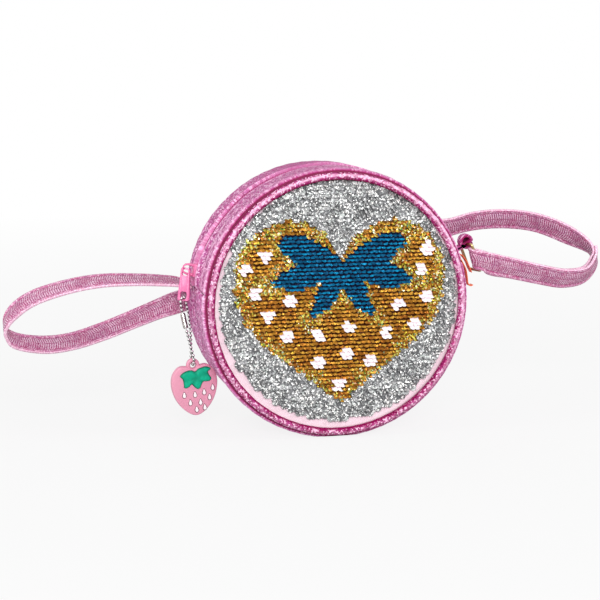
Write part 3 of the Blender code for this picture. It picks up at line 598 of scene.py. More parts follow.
class Paint:
    """The node tree of a material or a world under construction."""

    def __init__(self, holder: bpy.types.Material | bpy.types.World) -> None:
        """Open the holder's nodes, and find its shader if it is a material.

        Args:
            holder: Material or world whose nodes are painted.
        """
        self.holder = holder
        self.holder.use_nodes = True
        self.tree = holder.node_tree
        self.shader = self.tree.nodes.get("Principled BSDF")

    @classmethod
    def material(cls, name: str) -> Paint:
        """Start a material that holds one Principled shader."""
        return cls(bpy.data.materials.new(name))

    def feed(self, socket: bpy.types.NodeSocket, value: object) -> None:
        """Set a socket's value, or link another node's output to it.

        Args:
            socket: The socket.
            value: A number, a colour or a reading.
        """
        if isinstance(value, Reading):
            self.tree.links.new(value.socket, socket)
        else:
            socket.default_value = value

    def node(self, kind: str, settings: Mapping[str, object] | None = None,
             inputs: Mapping[str | int, object] | None = None) -> bpy.types.Node:
        """Add a node.

        Args:
            kind: Blender's name of the node.
            settings: Its settings, with a ramp's stops under "stops".
            inputs: Values or links of its sockets.

        Returns:
            The node.
        """
        made = self.tree.nodes.new(kind)
        for key, value in (settings or {}).items():
            if key == "stops":
                self._set_stops(made.color_ramp, value)
            else:
                setattr(made, key, value)
        for key, value in (inputs or {}).items():
            self.feed(made.inputs[key], value)
        return made

    @staticmethod
    def _set_stops(ramp: bpy.types.ColorRamp, stops: Sequence[tuple[float, Colour]]) -> None:
        """Give a ramp its places and colours.

        Args:
            ramp: The ramp.
            stops: Place from 0 to 1 and colour of each stop.
        """
        while len(ramp.elements) < len(stops):
            ramp.elements.new(1.0)
        for element, (place, colour) in zip(ramp.elements, stops):
            element.position, element.color = place, colour

    def read(self, kind: str, output: str | int = 0, settings: Mapping[str, object] | None = None,
             inputs: Mapping[str | int, object] | None = None) -> Reading:
        """Add a node and read one of its outputs."""
        return Reading(self, self.node(kind, settings, inputs).outputs[output])

    def maths(self, operation: str, *values: Reading | float) -> Reading:
        """Work out one Math node."""
        return self.read("ShaderNodeMath", 0, {"operation": operation}, dict(enumerate(values)))

    def vector(self, operation: str, *values: object) -> Reading:
        """Work out one Vector Math node."""
        return self.read("ShaderNodeVectorMath", 0, {"operation": operation}, dict(enumerate(values)))

    def place(self) -> Reading:
        """Read the place on the piece."""
        return self.read("ShaderNodeTexCoord", "Object")

    def mark(self, name: str) -> Reading:
        """Read a number that is stored on the mesh."""
        return self.read("ShaderNodeAttribute", "Fac", {"attribute_name": name})

    def along(self, stretch: float) -> Reading:
        """Read the metres along and across a strip, so that patterns come out longer than wide."""
        run = self.mark("run") * (MM / stretch)
        return self.read("ShaderNodeCombineXYZ", 0, None, {0: run, 1: self.mark("width") * MM})

    def noise(self, size: float, detail: float = 2.0, at: Reading | None = None) -> Reading:
        """Read cloudy noise about a half, whose clouds have a size in metres."""
        inputs = {"Vector": at or self.place(), "Scale": 1.0 / size, "Detail": detail}
        return self.read("ShaderNodeTexNoise", "Fac", None, inputs)

    def cells(self, size: float, at: Reading | None = None) -> tuple[Reading, Reading]:
        """Read cells of a size in metres: each cell's colour, and a number from 0 to 1.

        Args:
            size: Size of a cell.
            at: Place that is read, or None for the piece's own.

        Returns:
            The cell's colour and its number.
        """
        inputs = {"Vector": at or self.place(), "Scale": 1.0 / size}
        colour = self.read("ShaderNodeTexVoronoi", "Color", None, inputs)
        return colour, self.split(colour, 0)

    def split(self, colour: Reading, part: int) -> Reading:
        """Read one part of a colour."""
        return self.read("ShaderNodeSeparateColor", part, None, {0: colour})

    def ramp(self, value: Reading, stops: Sequence[tuple[float, Colour]]) -> Reading:
        """Turn a number into a colour by stops."""
        return self.read("ShaderNodeValToRGB", "Color", {"stops": stops}, {0: value})

    def mix(self, first: Reading | Colour, second: Reading | Colour, share: Reading | float) -> Reading:
        """Blend two colours."""
        return self.read("ShaderNodeMix", 2, {"data_type": "RGBA"}, {0: share, 6: first, 7: second})

    def mix_shaders(self, first: Reading, second: Reading, share: Reading) -> Reading:
        """Blend two shaders."""
        return self.read("ShaderNodeMixShader", 0, None, {0: share, 1: first, 2: second})

    def between(self, value: Reading, low: float, high: float) -> Reading:
        """Stretch a number so that low gives 0 and high gives 1, and hold it there."""
        return self.read("ShaderNodeMapRange", 0, None, {0: value, 1: low, 2: high})

    def facets(self, colour: Reading, strength: float) -> Reading:
        """Tilt the surface by a cell's colour, as flakes lie in a film.

        Args:
            colour: Colour of each cell.
            strength: How far a full colour tilts it.

        Returns:
            The new normal.
        """
        shift = self.vector("SUBTRACT", colour, (0.5, 0.5, 0.5))
        scaled = self.read("ShaderNodeVectorMath", 0, {"operation": "SCALE"}, {0: shift, 3: strength})
        normal = self.read("ShaderNodeNewGeometry", "Normal")
        return self.vector("NORMALIZE", self.vector("ADD", normal, scaled))

    def bump(self, height: Reading, depth: float, normal: Reading | None = None) -> Reading:
        """Raise the surface by the metres of depth where a height from 0 to 1 is full.

        Args:
            height: The height.
            depth: Rise of a full height.
            normal: Normal that it starts from.

        Returns:
            The new normal.
        """
        inputs = {"Height": height, "Distance": depth, "Strength": 1.0}
        inputs |= {"Normal": normal} if normal else {}
        return self.read("ShaderNodeBump", "Normal", None, inputs)

    def finish(self, **sockets: object) -> bpy.types.Material:
        """Feed the shader's sockets, whose spaces are written as underscores, and give the material.

        Args:
            **sockets: Value or reading for each socket.

        Returns:
            The material.
        """
        for key, value in sockets.items():
            self.feed(self.shader.inputs[key.replace("_", " ")], value)
        return self.holder


@dataclass(frozen=True)
class GlitterLeather:
    """Leatherette under a film of fine flakes, with painted shade in its seams and painted highlights on its
    folds.
    """

    base: Colour
    other: Colour
    deep: Colour
    spark: Colour
    groove: Colour
    inner: Colour
    flake: float = 1.15 * MM
    stretch: float = 1.5
    relief: float = 0.34
    glitter: float = 1.0

    def skin(self, paint: Paint) -> tuple[Reading, Reading, Reading]:
        """Mix the colours of the film and its flakes.

        Args:
            paint: Material under construction.

        Returns:
            The speckled colour, the flakes' own colours and their chance.
        """
        at = paint.along(self.stretch)
        colour, chance = paint.cells(self.flake, at)
        _, glint = paint.cells(self.flake * 0.85, at)
        clouds = paint.between(paint.noise(6.0 * MM, 3.0, at), 0.36, 0.64)
        # calm: fewer flakes, and the top of the drum darkened as painted shade
        ground = paint.mix(paint.mix(self.base, self.other, clouds), self.deep, paint.mark("calm") * 0.3)
        dark = paint.between(1.0 - chance, 0.5, 0.9)
        light = paint.between(glint, 0.62, 0.86)
        rough = (1.0 - paint.mark("calm")) * self.glitter
        speckled = paint.mix(ground, self.deep, dark * rough * 0.75)
        return paint.mix(speckled, self.spark, light * rough * 0.85), colour, chance

    def wear_and_painted_light(self, paint: Paint, skin: Reading) -> Reading:
        """Add the painted highlights on the folds, the zip's tint in the mouth and the painted shade in the
        seams.

        Args:
            paint: Material under construction.
            skin: Colour of the film.

        Returns:
            The colour.
        """
        at = paint.along(3.0)
        broken = 0.45 + paint.between(paint.noise(1.6 * MM, 2.0, at), 0.42, 0.56) * 0.55
        tinted = paint.mix(skin, self.inner, paint.mark("mouth") * 0.85)
        # painted highlight: the pale spark colour laid along ridges, lips and creases, broken by noise
        highlighted = paint.mix(tinted, self.spark, paint.mark("fold") * broken)
        # painted shade: the dark colour laid in the seams beside the piping and inside the tab's loop
        return paint.mix(highlighted, self.groove, paint.mark("groove") * 0.94)

    def paint(self, name: str) -> bpy.types.Material:
        """Build the material.

        Args:
            name: Name of the material.

        Returns:
            The material.
        """
        paint = Paint.material(name)
        skin, colour, chance = self.skin(paint)
        grain = paint.noise(1.4 * MM, 4.0)
        normal = paint.bump(grain, 0.12 * MM, paint.facets(colour, self.relief))
        # seam: the mask of the painted seam shade; it also drops the metal and raises the roughness there
        seam = paint.mark("groove")
        return paint.finish(Base_Color=self.wear_and_painted_light(paint, skin), Metallic=(1.0 - seam) * (0.06 + chance * 0.14),
                            Roughness=0.34 + grain * 0.2 + seam * 0.3, Specular_IOR_Level=0.04, Normal=normal)


@dataclass(frozen=True)
class StitchedGlitter:
    """Glitter leatherette with a band of slanting machine stitches along its middle."""

    leather: GlitterLeather
    thread: Colour
    pitch: float = 1.55
    reach: float = 0.60

    def stitches(self, paint: Paint) -> tuple[Reading, Reading]:
        """Lay two rows of slanting stitches that meet in the middle and wear off in places.

        Args:
            paint: Material under construction.

        Returns:
            The stitched band and its stitches, each from 0 to 1.
        """
        run, side = paint.mark("run"), abs(paint.mark("across"))
        middle = 1.0 - paint.between(side, self.reach - 0.04, self.reach)
        slant = run * (1.0 / self.pitch) + side * 1.15
        wave = abs(paint.maths("FRACT", slant) * 2.0 - 1.0)
        gap = paint.between(side, 0.0, 0.07) * paint.between(1.0 - side, 1.0 - self.reach, 1.05 - self.reach)
        wear_and_painted_light = 0.3 + paint.between(paint.noise(13.0 * MM, 2.0), 0.42, 0.56) * 0.7
        return middle, paint.between(wave, 0.35, 0.75) * gap * middle * wear_and_painted_light

    def paint(self, name: str) -> bpy.types.Material:
        """Build the material from the strap's own run, in millimetres, and its place across.

        Args:
            name: Name of the material.

        Returns:
            The material.
        """
        paint = Paint.material(name)
        leather = self.leather
        skin, colour, chance = leather.skin(paint)
        side = abs(paint.mark("across"))
        middle, stitch = self.stitches(paint)
        # painted shade: the stitched band darkened between its raised stitches
        sunk_shade = paint.mix(skin, leather.deep, middle * (1.0 - stitch) * 0.5)
        sewn = paint.mix(sunk_shade, self.thread, stitch * (0.45 + chance * 0.45))
        # rim: painted highlight along the strap's rounded edges and its margin crests
        rim = paint.between(side, 0.9, 0.97) + paint.between(1.0 - abs(side - 0.8), 0.94, 1.0) * 0.5
        # painted shade along the sunken channel beside each margin
        channel_shaded = paint.mix(sewn, leather.deep, paint.between(1.0 - abs(side - 0.64), 0.96, 1.0) * 0.7)
        edge_highlighted = paint.mix(channel_shaded, leather.spark, rim * 0.6)
        height = paint.noise(1.4 * MM, 4.0) * 0.3 + stitch
        normal = paint.bump(height, 0.22 * MM, paint.facets(colour, leather.relief))
        return paint.finish(Base_Color=leather.wear_and_painted_light(paint, edge_highlighted), Metallic=0.1 + chance * 0.16,
                            Roughness=0.36 - stitch * 0.08, Specular_IOR_Level=0.2, Normal=normal)


@dataclass(frozen=True)
class SequinFilm:
    """Mirror film of a flat sequin: bright at its free edge, with painted shade where the row above covers
    it.
    """

    middle: Colour
    other: Colour
    dark: Colour
    light: Colour
    sparks: tuple[Colour, ...]
    calm: float
    flake: float = 1.0 * MM
    cover: tuple[float, float] = (0.16, 0.46)
    metal: float = 0.55
    rough: float = 0.3
    gloom: float = 0.75

    def paint(self, name: str) -> bpy.types.Material:
        """Build the material from the marks that each sequin carries.

        Args:
            name: Name of the material.

        Returns:
            The material.
        """
        paint = Paint.material(name)
        colour, chance = paint.cells(self.flake)
        lot, stir, rise = paint.mark("lot"), paint.mark("stir"), paint.mark("rise")
        clouds = paint.between(paint.noise(7.0 * MM, 3.0), 0.4, 0.6)
        body = paint.mix(self.middle, self.other, clouds * 0.8)
        body = paint.mix(body, self.light, paint.between(lot, 0.45, 1.0) * 0.75)
        body = paint.mix(body, self.dark, paint.between(1.0 - lot, 0.6, 1.0) * 0.45)
        # painted shade where the row above covers the sequin
        row_shade = paint.between(rise + lot * 0.14 - 0.07, *self.cover)
        rows = paint.mix(body, self.dark, row_shade * (1.0 - stir * 0.45))
        places = np.linspace(0.2, 0.8, len(self.sparks)).tolist()
        glint = paint.ramp(paint.split(colour, 2), list(zip(places, self.sparks)))
        dim = paint.mix(rows, self.dark, paint.between(1.0 - chance, 0.52, 0.86) * stir * self.gloom)
        many = paint.between(chance + stir * 0.45, self.calm, self.calm + 0.08)
        return paint.finish(Base_Color=paint.mix(dim, glint, many), Metallic=self.metal, Roughness=self.rough,
                            Specular_IOR_Level=0.1, Normal=paint.facets(colour, 0.5))


@dataclass(frozen=True)
class Woven:
    """Cloth of crossing threads."""

    colour: Colour
    shade: Colour
    thread: float = 0.35 * MM
    sheen: float = 0.15
    rough: float = 0.6
    depth: float = 0.25
    # seam: colour of the painted shade where the cloth is marked beside the piping
    seam: Colour | None = None

    def paint(self, name: str) -> bpy.types.Material:
        """Build the material.

        Args:
            name: Name of the material.

        Returns:
            The material.
        """
        paint = Paint.material(name)
        parts = paint.node("ShaderNodeSeparateXYZ", None, {0: paint.place()})
        across, deep, up = (Reading(paint, parts.outputs[number]) for number in range(3))
        pace = math.pi / self.thread
        warp = paint.maths("SINE", (across + deep) * pace)
        weft = paint.maths("SINE", (up - deep) * pace)
        weave = (warp * weft) * 0.5 + 0.5
        drift = paint.between(paint.noise(14.0 * MM, 3.0), 0.3, 0.7)
        cloth = paint.mix(self.colour, self.shade, (weave + drift) * self.depth)
        # painted shade where the mesh is marked beside a seam
        shaded = paint.mix(cloth, self.seam or self.shade, paint.mark("groove"))
        return paint.finish(Base_Color=shaded, Roughness=self.rough + weave * 0.1, Sheen_Weight=self.sheen,
                            Normal=paint.bump(weave, 0.06 * MM))


@dataclass(frozen=True)
class Coated:
    """Smooth enamel, soft vinyl or plated metal, told apart by its numbers."""

    colour: Colour
    wear_and_painted_light: Colour
    metal: float = 0.0
    rough: float = 0.3
    coat: float = 0.3
    patch: float = 3.0 * MM
    ripple: float = 0.02 * MM
    rim: float = 0.0
    gleam: float = 0.5

    def paint(self, name: str) -> bpy.types.Material:
        """Build the material.

        Args:
            name: Name of the material.

        Returns:
            The material.
        """
        paint = Paint.material(name)
        drift = paint.between(paint.noise(self.patch, 4.0), 0.35, 0.7)
        # rim: painted shade at the edges and creases that the mesh marks
        shown = paint.mix(self.colour, self.wear_and_painted_light, drift * 0.3 + paint.mark("rim") * self.rim)
        normal = paint.bump(paint.noise(self.patch * 0.3, 2.0), self.ripple)
        return paint.finish(Base_Color=shown, Metallic=self.metal, Roughness=self.rough + drift * 0.08,
                            Specular_IOR_Level=self.gleam, Coat_Weight=self.coat, Coat_Roughness=0.12,
                            Normal=normal)


@dataclass(frozen=True)
class Chrome:
    """Bright plating with a painted reflection: dark and light bands of its surroundings."""

    bands: tuple[tuple[float, Colour], ...]
    rough: float = 0.16

    def paint(self, name: str) -> bpy.types.Material:
        """Build the material from the mark that runs over each piece.

        Args:
            Build the material, with its painted reflection laid along the mark that runs over each piece.

        Returns:
            The material.
        """
        paint = Paint.material(name)
        drift = paint.noise(0.9 * MM, 2.0) * 0.24 - 0.12
        shown = paint.ramp(paint.mark("tall") + drift, self.bands)
        return paint.finish(Base_Color=shown, Metallic=0.85, Roughness=self.rough + drift * 0.2)


class Slot(Enum):
    """Material slots of the record, and the finishes that only the visual pieces have."""

    GLITTER_PINK = "glitter_pink"
    GLITTER_MAUVE = "glitter_mauve"
    GLITTER_BACK = "glitter_back"
    STITCHED = "stitched_mauve"
    PIPING = "piping_pink"
    PALE_FABRIC = "pale_fabric"
    SILVER = "silver_sequin"
    GOLD = "gold_sequin"
    BLUE = "blue_sequin"
    WHITE = "white_sequin"
    BACKING = "sequin_backing"
    ZIP = "zip_pink"
    PAINTED = "painted_pink"
    STEEL = "chain_steel"
    CHARM = "charm_pink"
    LEAF = "charm_green"
    SEED = "charm_white"
    CLASP = "clasp_steel"
    RIM = "charm_outline"
    SHADE = "tab_inside"
    RING = "pale_gold"
    RIBBON = "orange_ribbon"
    LINING = "lining_pink"


class Palette:
    """Builds each finish once and gives it to the pieces."""

    def __init__(self) -> None:
        """Name the finish of each slot."""
        # The first two colours are painted shade for the seams; each leather's pale spark colour also serves
        # as its painted highlight.
        groove, seam, zipped = tone(134, 0, 72), tone(160, 18, 96), tone(216, 112, 168)
        pink = (tone(192, 84, 146), tone(182, 98, 156), tone(134, 34, 92), tone(255, 204, 236))
        mauve = (tone(212, 100, 164), tone(202, 120, 180), tone(128, 30, 94), tone(255, 212, 242))
        band = GlitterLeather(tone(196, 98, 144), tone(184, 112, 156), tone(134, 44, 90),
                              tone(250, 216, 234), groove, zipped, 0.75 * MM, 1.1, 0.34, 0.8)
        self.finishes = {
            Slot.GLITTER_PINK: GlitterLeather(*pink, seam, zipped, 2.1 * MM, 0.55),
            Slot.GLITTER_MAUVE: GlitterLeather(*mauve, seam, zipped, 2.1 * MM, 0.55),
            Slot.GLITTER_BACK: GlitterLeather(*pink, groove, zipped, 1.1 * MM, 1.0),
            Slot.STITCHED: StitchedGlitter(band, tone(244, 212, 232)),
            Slot.PIPING: GlitterLeather(tone(158, 34, 98), tone(172, 62, 128), tone(90, 4, 52),
                                        tone(255, 206, 234), groove, zipped, 1.2 * MM, 1.0, 0.5),
            Slot.PALE_FABRIC: Woven(tone(255, 232, 241), tone(232, 164, 196), 0.3 * MM, 0.1, 0.5, 0.1,
                                    groove),
            Slot.SILVER: SequinFilm(tone(122, 122, 123), tone(140, 140, 142), tone(62, 63, 66),
                                    tone(176, 176, 176),
                                    (tone(206, 214, 210), tone(255, 255, 255), tone(236, 234, 230)),
                                    1.15, 0.85 * MM, (0.3, 0.62), 0.4, 0.35, 0.6),
            Slot.GOLD: SequinFilm(tone(178, 124, 42), tone(150, 84, 26), tone(50, 18, 0), tone(198, 154, 58),
                                  (tone(236, 232, 122), tone(116, 142, 36), tone(86, 140, 108),
                                   tone(255, 252, 214), tone(188, 96, 40), tone(160, 146, 40)),
                                  0.99, 0.95 * MM, (0.3, 0.4)),
            Slot.BLUE: SequinFilm(tone(0, 92, 132), tone(0, 80, 118), tone(0, 6, 34), tone(6, 136, 182),
                                  (tone(40, 170, 226), tone(20, 150, 210), tone(60, 160, 200)),
                                  1.06, 1.1 * MM, (0.27, 0.36), 0.4, 0.35),
            Slot.WHITE: SequinFilm(tone(255, 246, 250), tone(255, 244, 250), tone(214, 188, 196),
                                   tone(255, 252, 254),
                                   (tone(255, 255, 255), tone(255, 250, 252), tone(250, 240, 250)),
                                   0.95, 1.1 * MM, (0.4, 0.5), 0.0, 0.4),
            Slot.BACKING: Woven(tone(70, 62, 58), tone(34, 26, 24), 0.3 * MM, 0.0, 0.8),
            Slot.ZIP: Woven(tone(200, 82, 144), tone(166, 50, 114), 0.32 * MM, 0.05),
            Slot.PAINTED: Coated(tone(226, 112, 164), tone(206, 84, 144)),
            # painted reflection bands of the plated chain and clasp
            Slot.STEEL: Chrome(((0.0, tone(40, 38, 38)), (0.28, tone(96, 94, 92)),
                                (0.42, tone(250, 250, 248)), (0.62, tone(150, 148, 146)),
                                (0.86, tone(255, 255, 255)))),
            Slot.CLASP: Chrome(((0.0, tone(44, 42, 40)), (0.2, tone(150, 148, 144)),
                                (0.42, tone(255, 255, 252)), (0.66, tone(150, 146, 138)),
                                (0.84, tone(214, 212, 206)), (1.0, tone(50, 46, 44)))),
            Slot.CHARM: Coated(tone(224, 152, 175), tone(212, 132, 160), 0.0, 0.4, 0.05, 9.0 * MM, 0.03 * MM),
            # the leaf's rim share paints shade at its edges and creases
            Slot.LEAF: Coated(tone(0, 180, 138), tone(0, 84, 62), 0.0, 0.5, 0.0, 4.0 * MM, 0.03 * MM,
                              0.8, 0.2),
            Slot.SEED: Coated(tone(252, 246, 247), tone(240, 214, 224), 0.0, 0.35, 0.1),
            Slot.RIM: Coated(tone(122, 74, 88), tone(96, 60, 72), 0.0, 0.5, 0.0),
            Slot.SHADE: Coated(tone(74, 14, 48), tone(44, 6, 30), 0.0, 0.8, 0.0),
            Slot.RING: Coated(tone(208, 184, 132), tone(96, 76, 48), 1.0, 0.2, 0.0, 1.2 * MM),
            Slot.RIBBON: Woven(tone(246, 116, 44), tone(206, 66, 20), 0.25 * MM, 0.2, 0.45),
            Slot.LINING: Woven(tone(238, 196, 214), tone(206, 140, 172), 0.28 * MM, 0.1),
        }
        self.made: dict[Slot, bpy.types.Material] = {}

    def get(self, slot: Slot) -> bpy.types.Material:
        """Give a slot's material, and build it the first time.

        Args:
            slot: The slot.

        Returns:
            The material.
        """
        if slot not in self.made:
            self.made[slot] = self.finishes[slot].paint(slot.value)
        return self.made[slot]


@dataclass
class Dresser:
    """Gives each finished piece its material, its body and the CAD node that it stands for."""

    frame: dict
    palette: Palette

    def dress(self, piece: Piece, slot: Slot, body: str = "bag",
              stands_for: Sequence[str] = ()) -> Piece:
        """Finish a piece and report it.

        Args:
            piece: Finished mesh.
            slot: Its finish.
            body: CAD body that carries it.
            stands_for: CAD nodes that it replaces.

        Returns:
            The piece.
        """
        piece.data.materials.clear()
        piece.data.materials.append(self.palette.get(slot))
        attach(piece, body)
        if stands_for:
            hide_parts(*stands_for)
        known = {entry.get("slot") for entry in self.frame["record"].get("materials", [])}
        LOG.info("%s: %d faces, %s, on %s", piece.name, len(piece.data.polygons), slot.value, body)
        return piece


@dataclass
class BagShell:
    """Side wall, round panels, pipings and lining of the drum."""

    seam: float = 0.2 * MM
    sewn_in: float = 1.5 * MM
    lip_height: float = 0.5 * MM
    lip_place: float = 6.4 * MM
    lip_roll: float = 1.1 * MM
    gape: float = 2.0 * MM
    row_pace: float = 1.3 * MM
    end_roll: float = 2.6 * MM
    end_sink: float = 1.1 * MM
    dent: float = 0.13 * MM
    pucker: float = 0.09 * MM
    ground: float = 0.15 * MM
    back_swell: float = 1.2 * MM
    piping_radius: float = 2.4 * MM
    piping_ring: float = 84.4 * MM
    piping_depth: float = 36.5 * MM
    lining_wall: float = 0.5 * MM
    lining_gap: float = 0.3 * MM
    lining_low: float = 87.1 * MM
    lining_top: float = 86.0 * MM
    lining_ground: float = 2.1 * MM
    lining_mouth: float = 12.0 * MM

    def depths(self, low: float, high: float) -> list[float]:
        """Places across the side wall, close together in its round ridges.

        Args:
            low: First place along the drum's axis.
            high: Last place.

        Returns:
            The places, from low to high.
        """
        ridge, least = DRUM.half_depth - DRUM.edge_round, 0.3 * MM
        turns = [math.radians(15 * step) for step in range(7)]
        half = [DRUM.half_depth - DRUM.edge_round * (1 - math.cos(turn)) for turn in turns]
        half += [ridge - self.row_pace * step for step in range(1, int(ridge / self.row_pace) + 1)]
        marks = [-mark for mark in half] + [0.0] + list(reversed(half))
        return [low, *[mark for mark in marks if low + least < mark < high - least], high]

    def lip(self, depth: np.ndarray, angle: np.ndarray) -> np.ndarray:
        """Rise of the folded edges beside the zip's mouth, which gape at both ends of the zip.

        Args:
            depth: Places along the drum's axis.
            angle: Angles in degrees.

        Returns:
            The rise over the side wall.
        """
        reach = np.abs(depth)
        left = fade(angle, 138.0, 165.0) * (1.0 - 0.5 * fade(angle, 169.0, 174.0))
        ends = left + fade(-angle, -48.0, -26.0)
        height = self.lip_height * np.where(depth < 0, 1.0, 2.6) + self.gape * ends
        spread = np.where(reach < self.lip_place, 1.2, 1.7 + 2.6 * ends) * MM
        turned = self.lip_roll * np.clip(1.0 - (reach - DRUM.mouth) / self.lip_roll, 0.0, 1.0)
        return height * hump(reach, self.lip_place, spread) - turned

    def wall(self, name: str, depths: Span, span: Span, mouth: bool) -> Piece:
        """Side wall between two depths and two angles, with its folds and soft dents.

        Args:
            name: Name of the piece.
            depths: First and last place along the drum's axis.
            span: First and last angle in degrees.
            mouth: Whether one side is the folded edge beside the zip.

        Returns:
            The piece.
        """
        line = [DRUM.at(span[0], DRUM.wall_radius(depth), depth) for depth in self.depths(*depths)]
        piece = Bench.sweep(name, line, span[1] - span[0], round((span[1] - span[0]) * 1.1))
        self.soften(piece, span, mouth)
        Bench.modify(piece, "SOLIDIFY", thickness=DRUM.wall * 0.9, offset=-1.0)
        self.mark_wall(piece, mouth)
        Bench.smooth(piece)
        return piece

    def soften(self, piece: Piece, span: Span, mouth: bool) -> None:
        """Roll the wall in at its end seams and give it shallow dents.

        Args:
            piece: Open sheet of the wall.
            span: First and last angle in degrees.
            mouth: Whether one side is the folded edge beside the zip.
        """
        places = Bench.places(piece)
        radius, angle = DRUM.polar(places)
        angle = np.where(angle < span[0] - 1.0, angle + 360.0, angle)
        depth, turn = places[:, 1], np.radians(angle)
        to_end = np.minimum(angle - span[0], span[1] - angle) * math.pi / 180.0 * DRUM.radius
        roll = np.sqrt(np.clip(1.0 - np.clip(1.0 - to_end / self.end_roll, 0.0, 1.0) ** 2, 0.0, 1.0))
        free = 1.0 - fade(np.abs(depth), DRUM.half_depth - 5.0 * MM, DRUM.half_depth)
        dent = np.sin(turn * 9.0 + depth * 90.0) + 0.6 * np.sin(turn * 17.0 - depth * 160.0 + 1.3)
        pucker = np.sin(turn * 61.0) * hump(np.abs(depth), 31.0 * MM, 2.2 * MM)
        moved = (radius - self.end_sink * (1.0 - roll) + self.dent * (dent - 1.6) * free
                 + self.pucker * (pucker - 1.0))
        if mouth:
            moved += self.lip(depth, angle)
        DRUM.put(places, moved, turn)
        places[:, 2] = np.maximum(places[:, 2], self.ground)
        Bench.move(piece, places)

    def mark_wall(self, piece: Piece, mouth: bool) -> None:
        """Mark the painted shade in the seams, the painted highlights on the ridges, lips and creases, and
        the run for the leather's finish.

        Args:
            piece: The wall.
            mouth: Whether one side is the folded edge beside the zip.
        """
        places = Bench.places(piece)
        radius, angle = DRUM.polar(places)
        Bench.mark_run(piece, np.radians(angle) * DRUM.radius, places[:, 1])
        depth = np.abs(places[:, 1])
        edge = depth > DRUM.half_depth - 0.8 * MM
        # painted shade on the wall's edge beside the piping
        Bench.mark(piece, "groove", np.where(edge, fade(-radius, -88.9 * MM, -88.2 * MM), 0.0))
        # painted highlight along the round ridge, strongest on the left side
        fold = (0.35 + 0.6 * hump(angle, 164.0, 26.0)) * hump(depth, DRUM.half_depth - 1.9 * MM, 1.4 * MM)
        if mouth:
            near = 0.1 + 0.9 * fade(angle, 128.0, 162.0)
            lip = hump(depth, self.lip_place + 0.4 * MM, 1.3 * MM)
            # crease: a painted highlight line across the front strip near the left end; no crease is modelled
            # under it
            crease = hump(depth, 19.5 * MM, 1.9 * MM) * fade(angle, 128.0, 150.0)
            fold = np.maximum(fold, (0.35 + 0.5 * near) * lip)
            fold = np.maximum(fold, 0.9 * np.where(places[:, 1] < 0, crease, 0.0))
            # calm: fewer flakes near the top, where it also darkens the film as painted shade
            Bench.mark(piece, "calm", np.where(places[:, 1] > 0, 1.0, 0.6) * hump(angle, 97.0, 22.0))
            inner = 1.0 - fade(depth, self.lip_place - 0.7 * MM, self.lip_place - 0.1 * MM)
            Bench.mark(piece, "mouth", inner * near)
        Bench.mark(piece, "fold", fold)

    def disc(self, name: str, side: int, face: float, radius: float, wall: float,
             swell: float = 0.0) -> Piece:
        """Round panel, slightly swollen, spun from its half section.

        Args:
            name: Name of the piece.
            side: -1 for the front and 1 for the back.
            face: Depth of its outer face at the rim.
            radius: Radius of the rim.
            wall: Thickness.
            swell: Rise of its middle.

        Returns:
            The piece.
        """
        shares = [0.0, 0.15, 0.3, 0.45, 0.6, 0.72, 0.82, 0.89, 0.935, 0.955, 1.0]
        outer = [DRUM.at(0.0, radius * share, side * (face + swell * (1 - share ** 4))) for share in shares]
        inner = [DRUM.at(0.0, radius * share, side * (face - wall)) for share in reversed(shares)]
        piece = Bench.chain(name, [*outer, *inner])
        Bench.spin(piece, DRUM.centre, AXIS, 360.0, 144)
        Bench.face_out(piece)
        places = Bench.places(piece)
        reach, angle = DRUM.polar(places)
        rim = hump(reach, 0.93 * radius, 0.05 * radius)
        places[:, 1] += side * 0.12 * MM * rim * np.sin(np.radians(angle) * 34.0)
        Bench.move(piece, places)
        Bench.mark_run(piece, places[:, 0], places[:, 2])
        # painted shade on the panel's rim next to the piping
        Bench.mark(piece, "groove", fade(reach, 82.1 * MM, 83.4 * MM))
        Bench.smooth(piece)
        return piece

    def piping(self, name: str, side: int) -> Piece:
        """Rolled cord in a round seam, with small puckers, painted shade on its flanks and a painted
        highlight along its crest.

        Args:
            name: Name of the piece.
            side: -1 for the front and 1 for the back.

        Returns:
            The piece.
        """
        Bench.clear()
        bpy.ops.mesh.primitive_torus_add(
            location=(0.0, side * self.piping_depth, DRUM.axis_height), rotation=(math.pi / 2, 0.0, 0.0),
            major_radius=self.piping_ring, minor_radius=self.piping_radius,
            major_segments=240, minor_segments=18)
        piece = Bench.settle(name)
        with Bench.editing(piece):
            bpy.ops.mesh.subdivide(number_cuts=1, smoothness=1.0)
        Bench.face_out(piece)
        places = Bench.places(piece)
        reach, angle = DRUM.polar(places)
        turn = np.radians(angle)
        out = (reach - self.piping_ring) / self.piping_radius
        back = (side * places[:, 1] - self.piping_depth) / self.piping_radius
        shrink = 1.0 + 0.025 * np.sin(turn * 73.0 + out * 1.5) + 0.02 * np.sin(turn * 31.0 + 0.7)
        DRUM.put(places, self.piping_ring + (reach - self.piping_ring) * shrink, turn)
        Bench.move(piece, places)
        Bench.mark_run(piece, turn * self.piping_ring, np.arctan2(back, out) * self.piping_radius)
        lit = np.clip(np.cos(turn - 0.15), 0.0, 1.0) ** 2
        # painted shade on the flanks, weaker on the side that faces the right lamp
        flank_shade = fade(-out, 0.3, 0.8) * (1.0 - 0.75 * lit)
        Bench.mark(piece, "groove", np.maximum(fade(-back, -0.35, 0.3), flank_shade))
        # painted highlight along the cord, brighter at the top and on the lit side
        bright = 0.42 + 0.26 * np.sin(turn) + 0.16 * lit
        Bench.mark(piece, "fold", bright * hump(out * 0.35 + back * 0.94, 1.0, 0.09 + 0.12 * lit))
        Bench.smooth(piece, 60.0)
        return piece

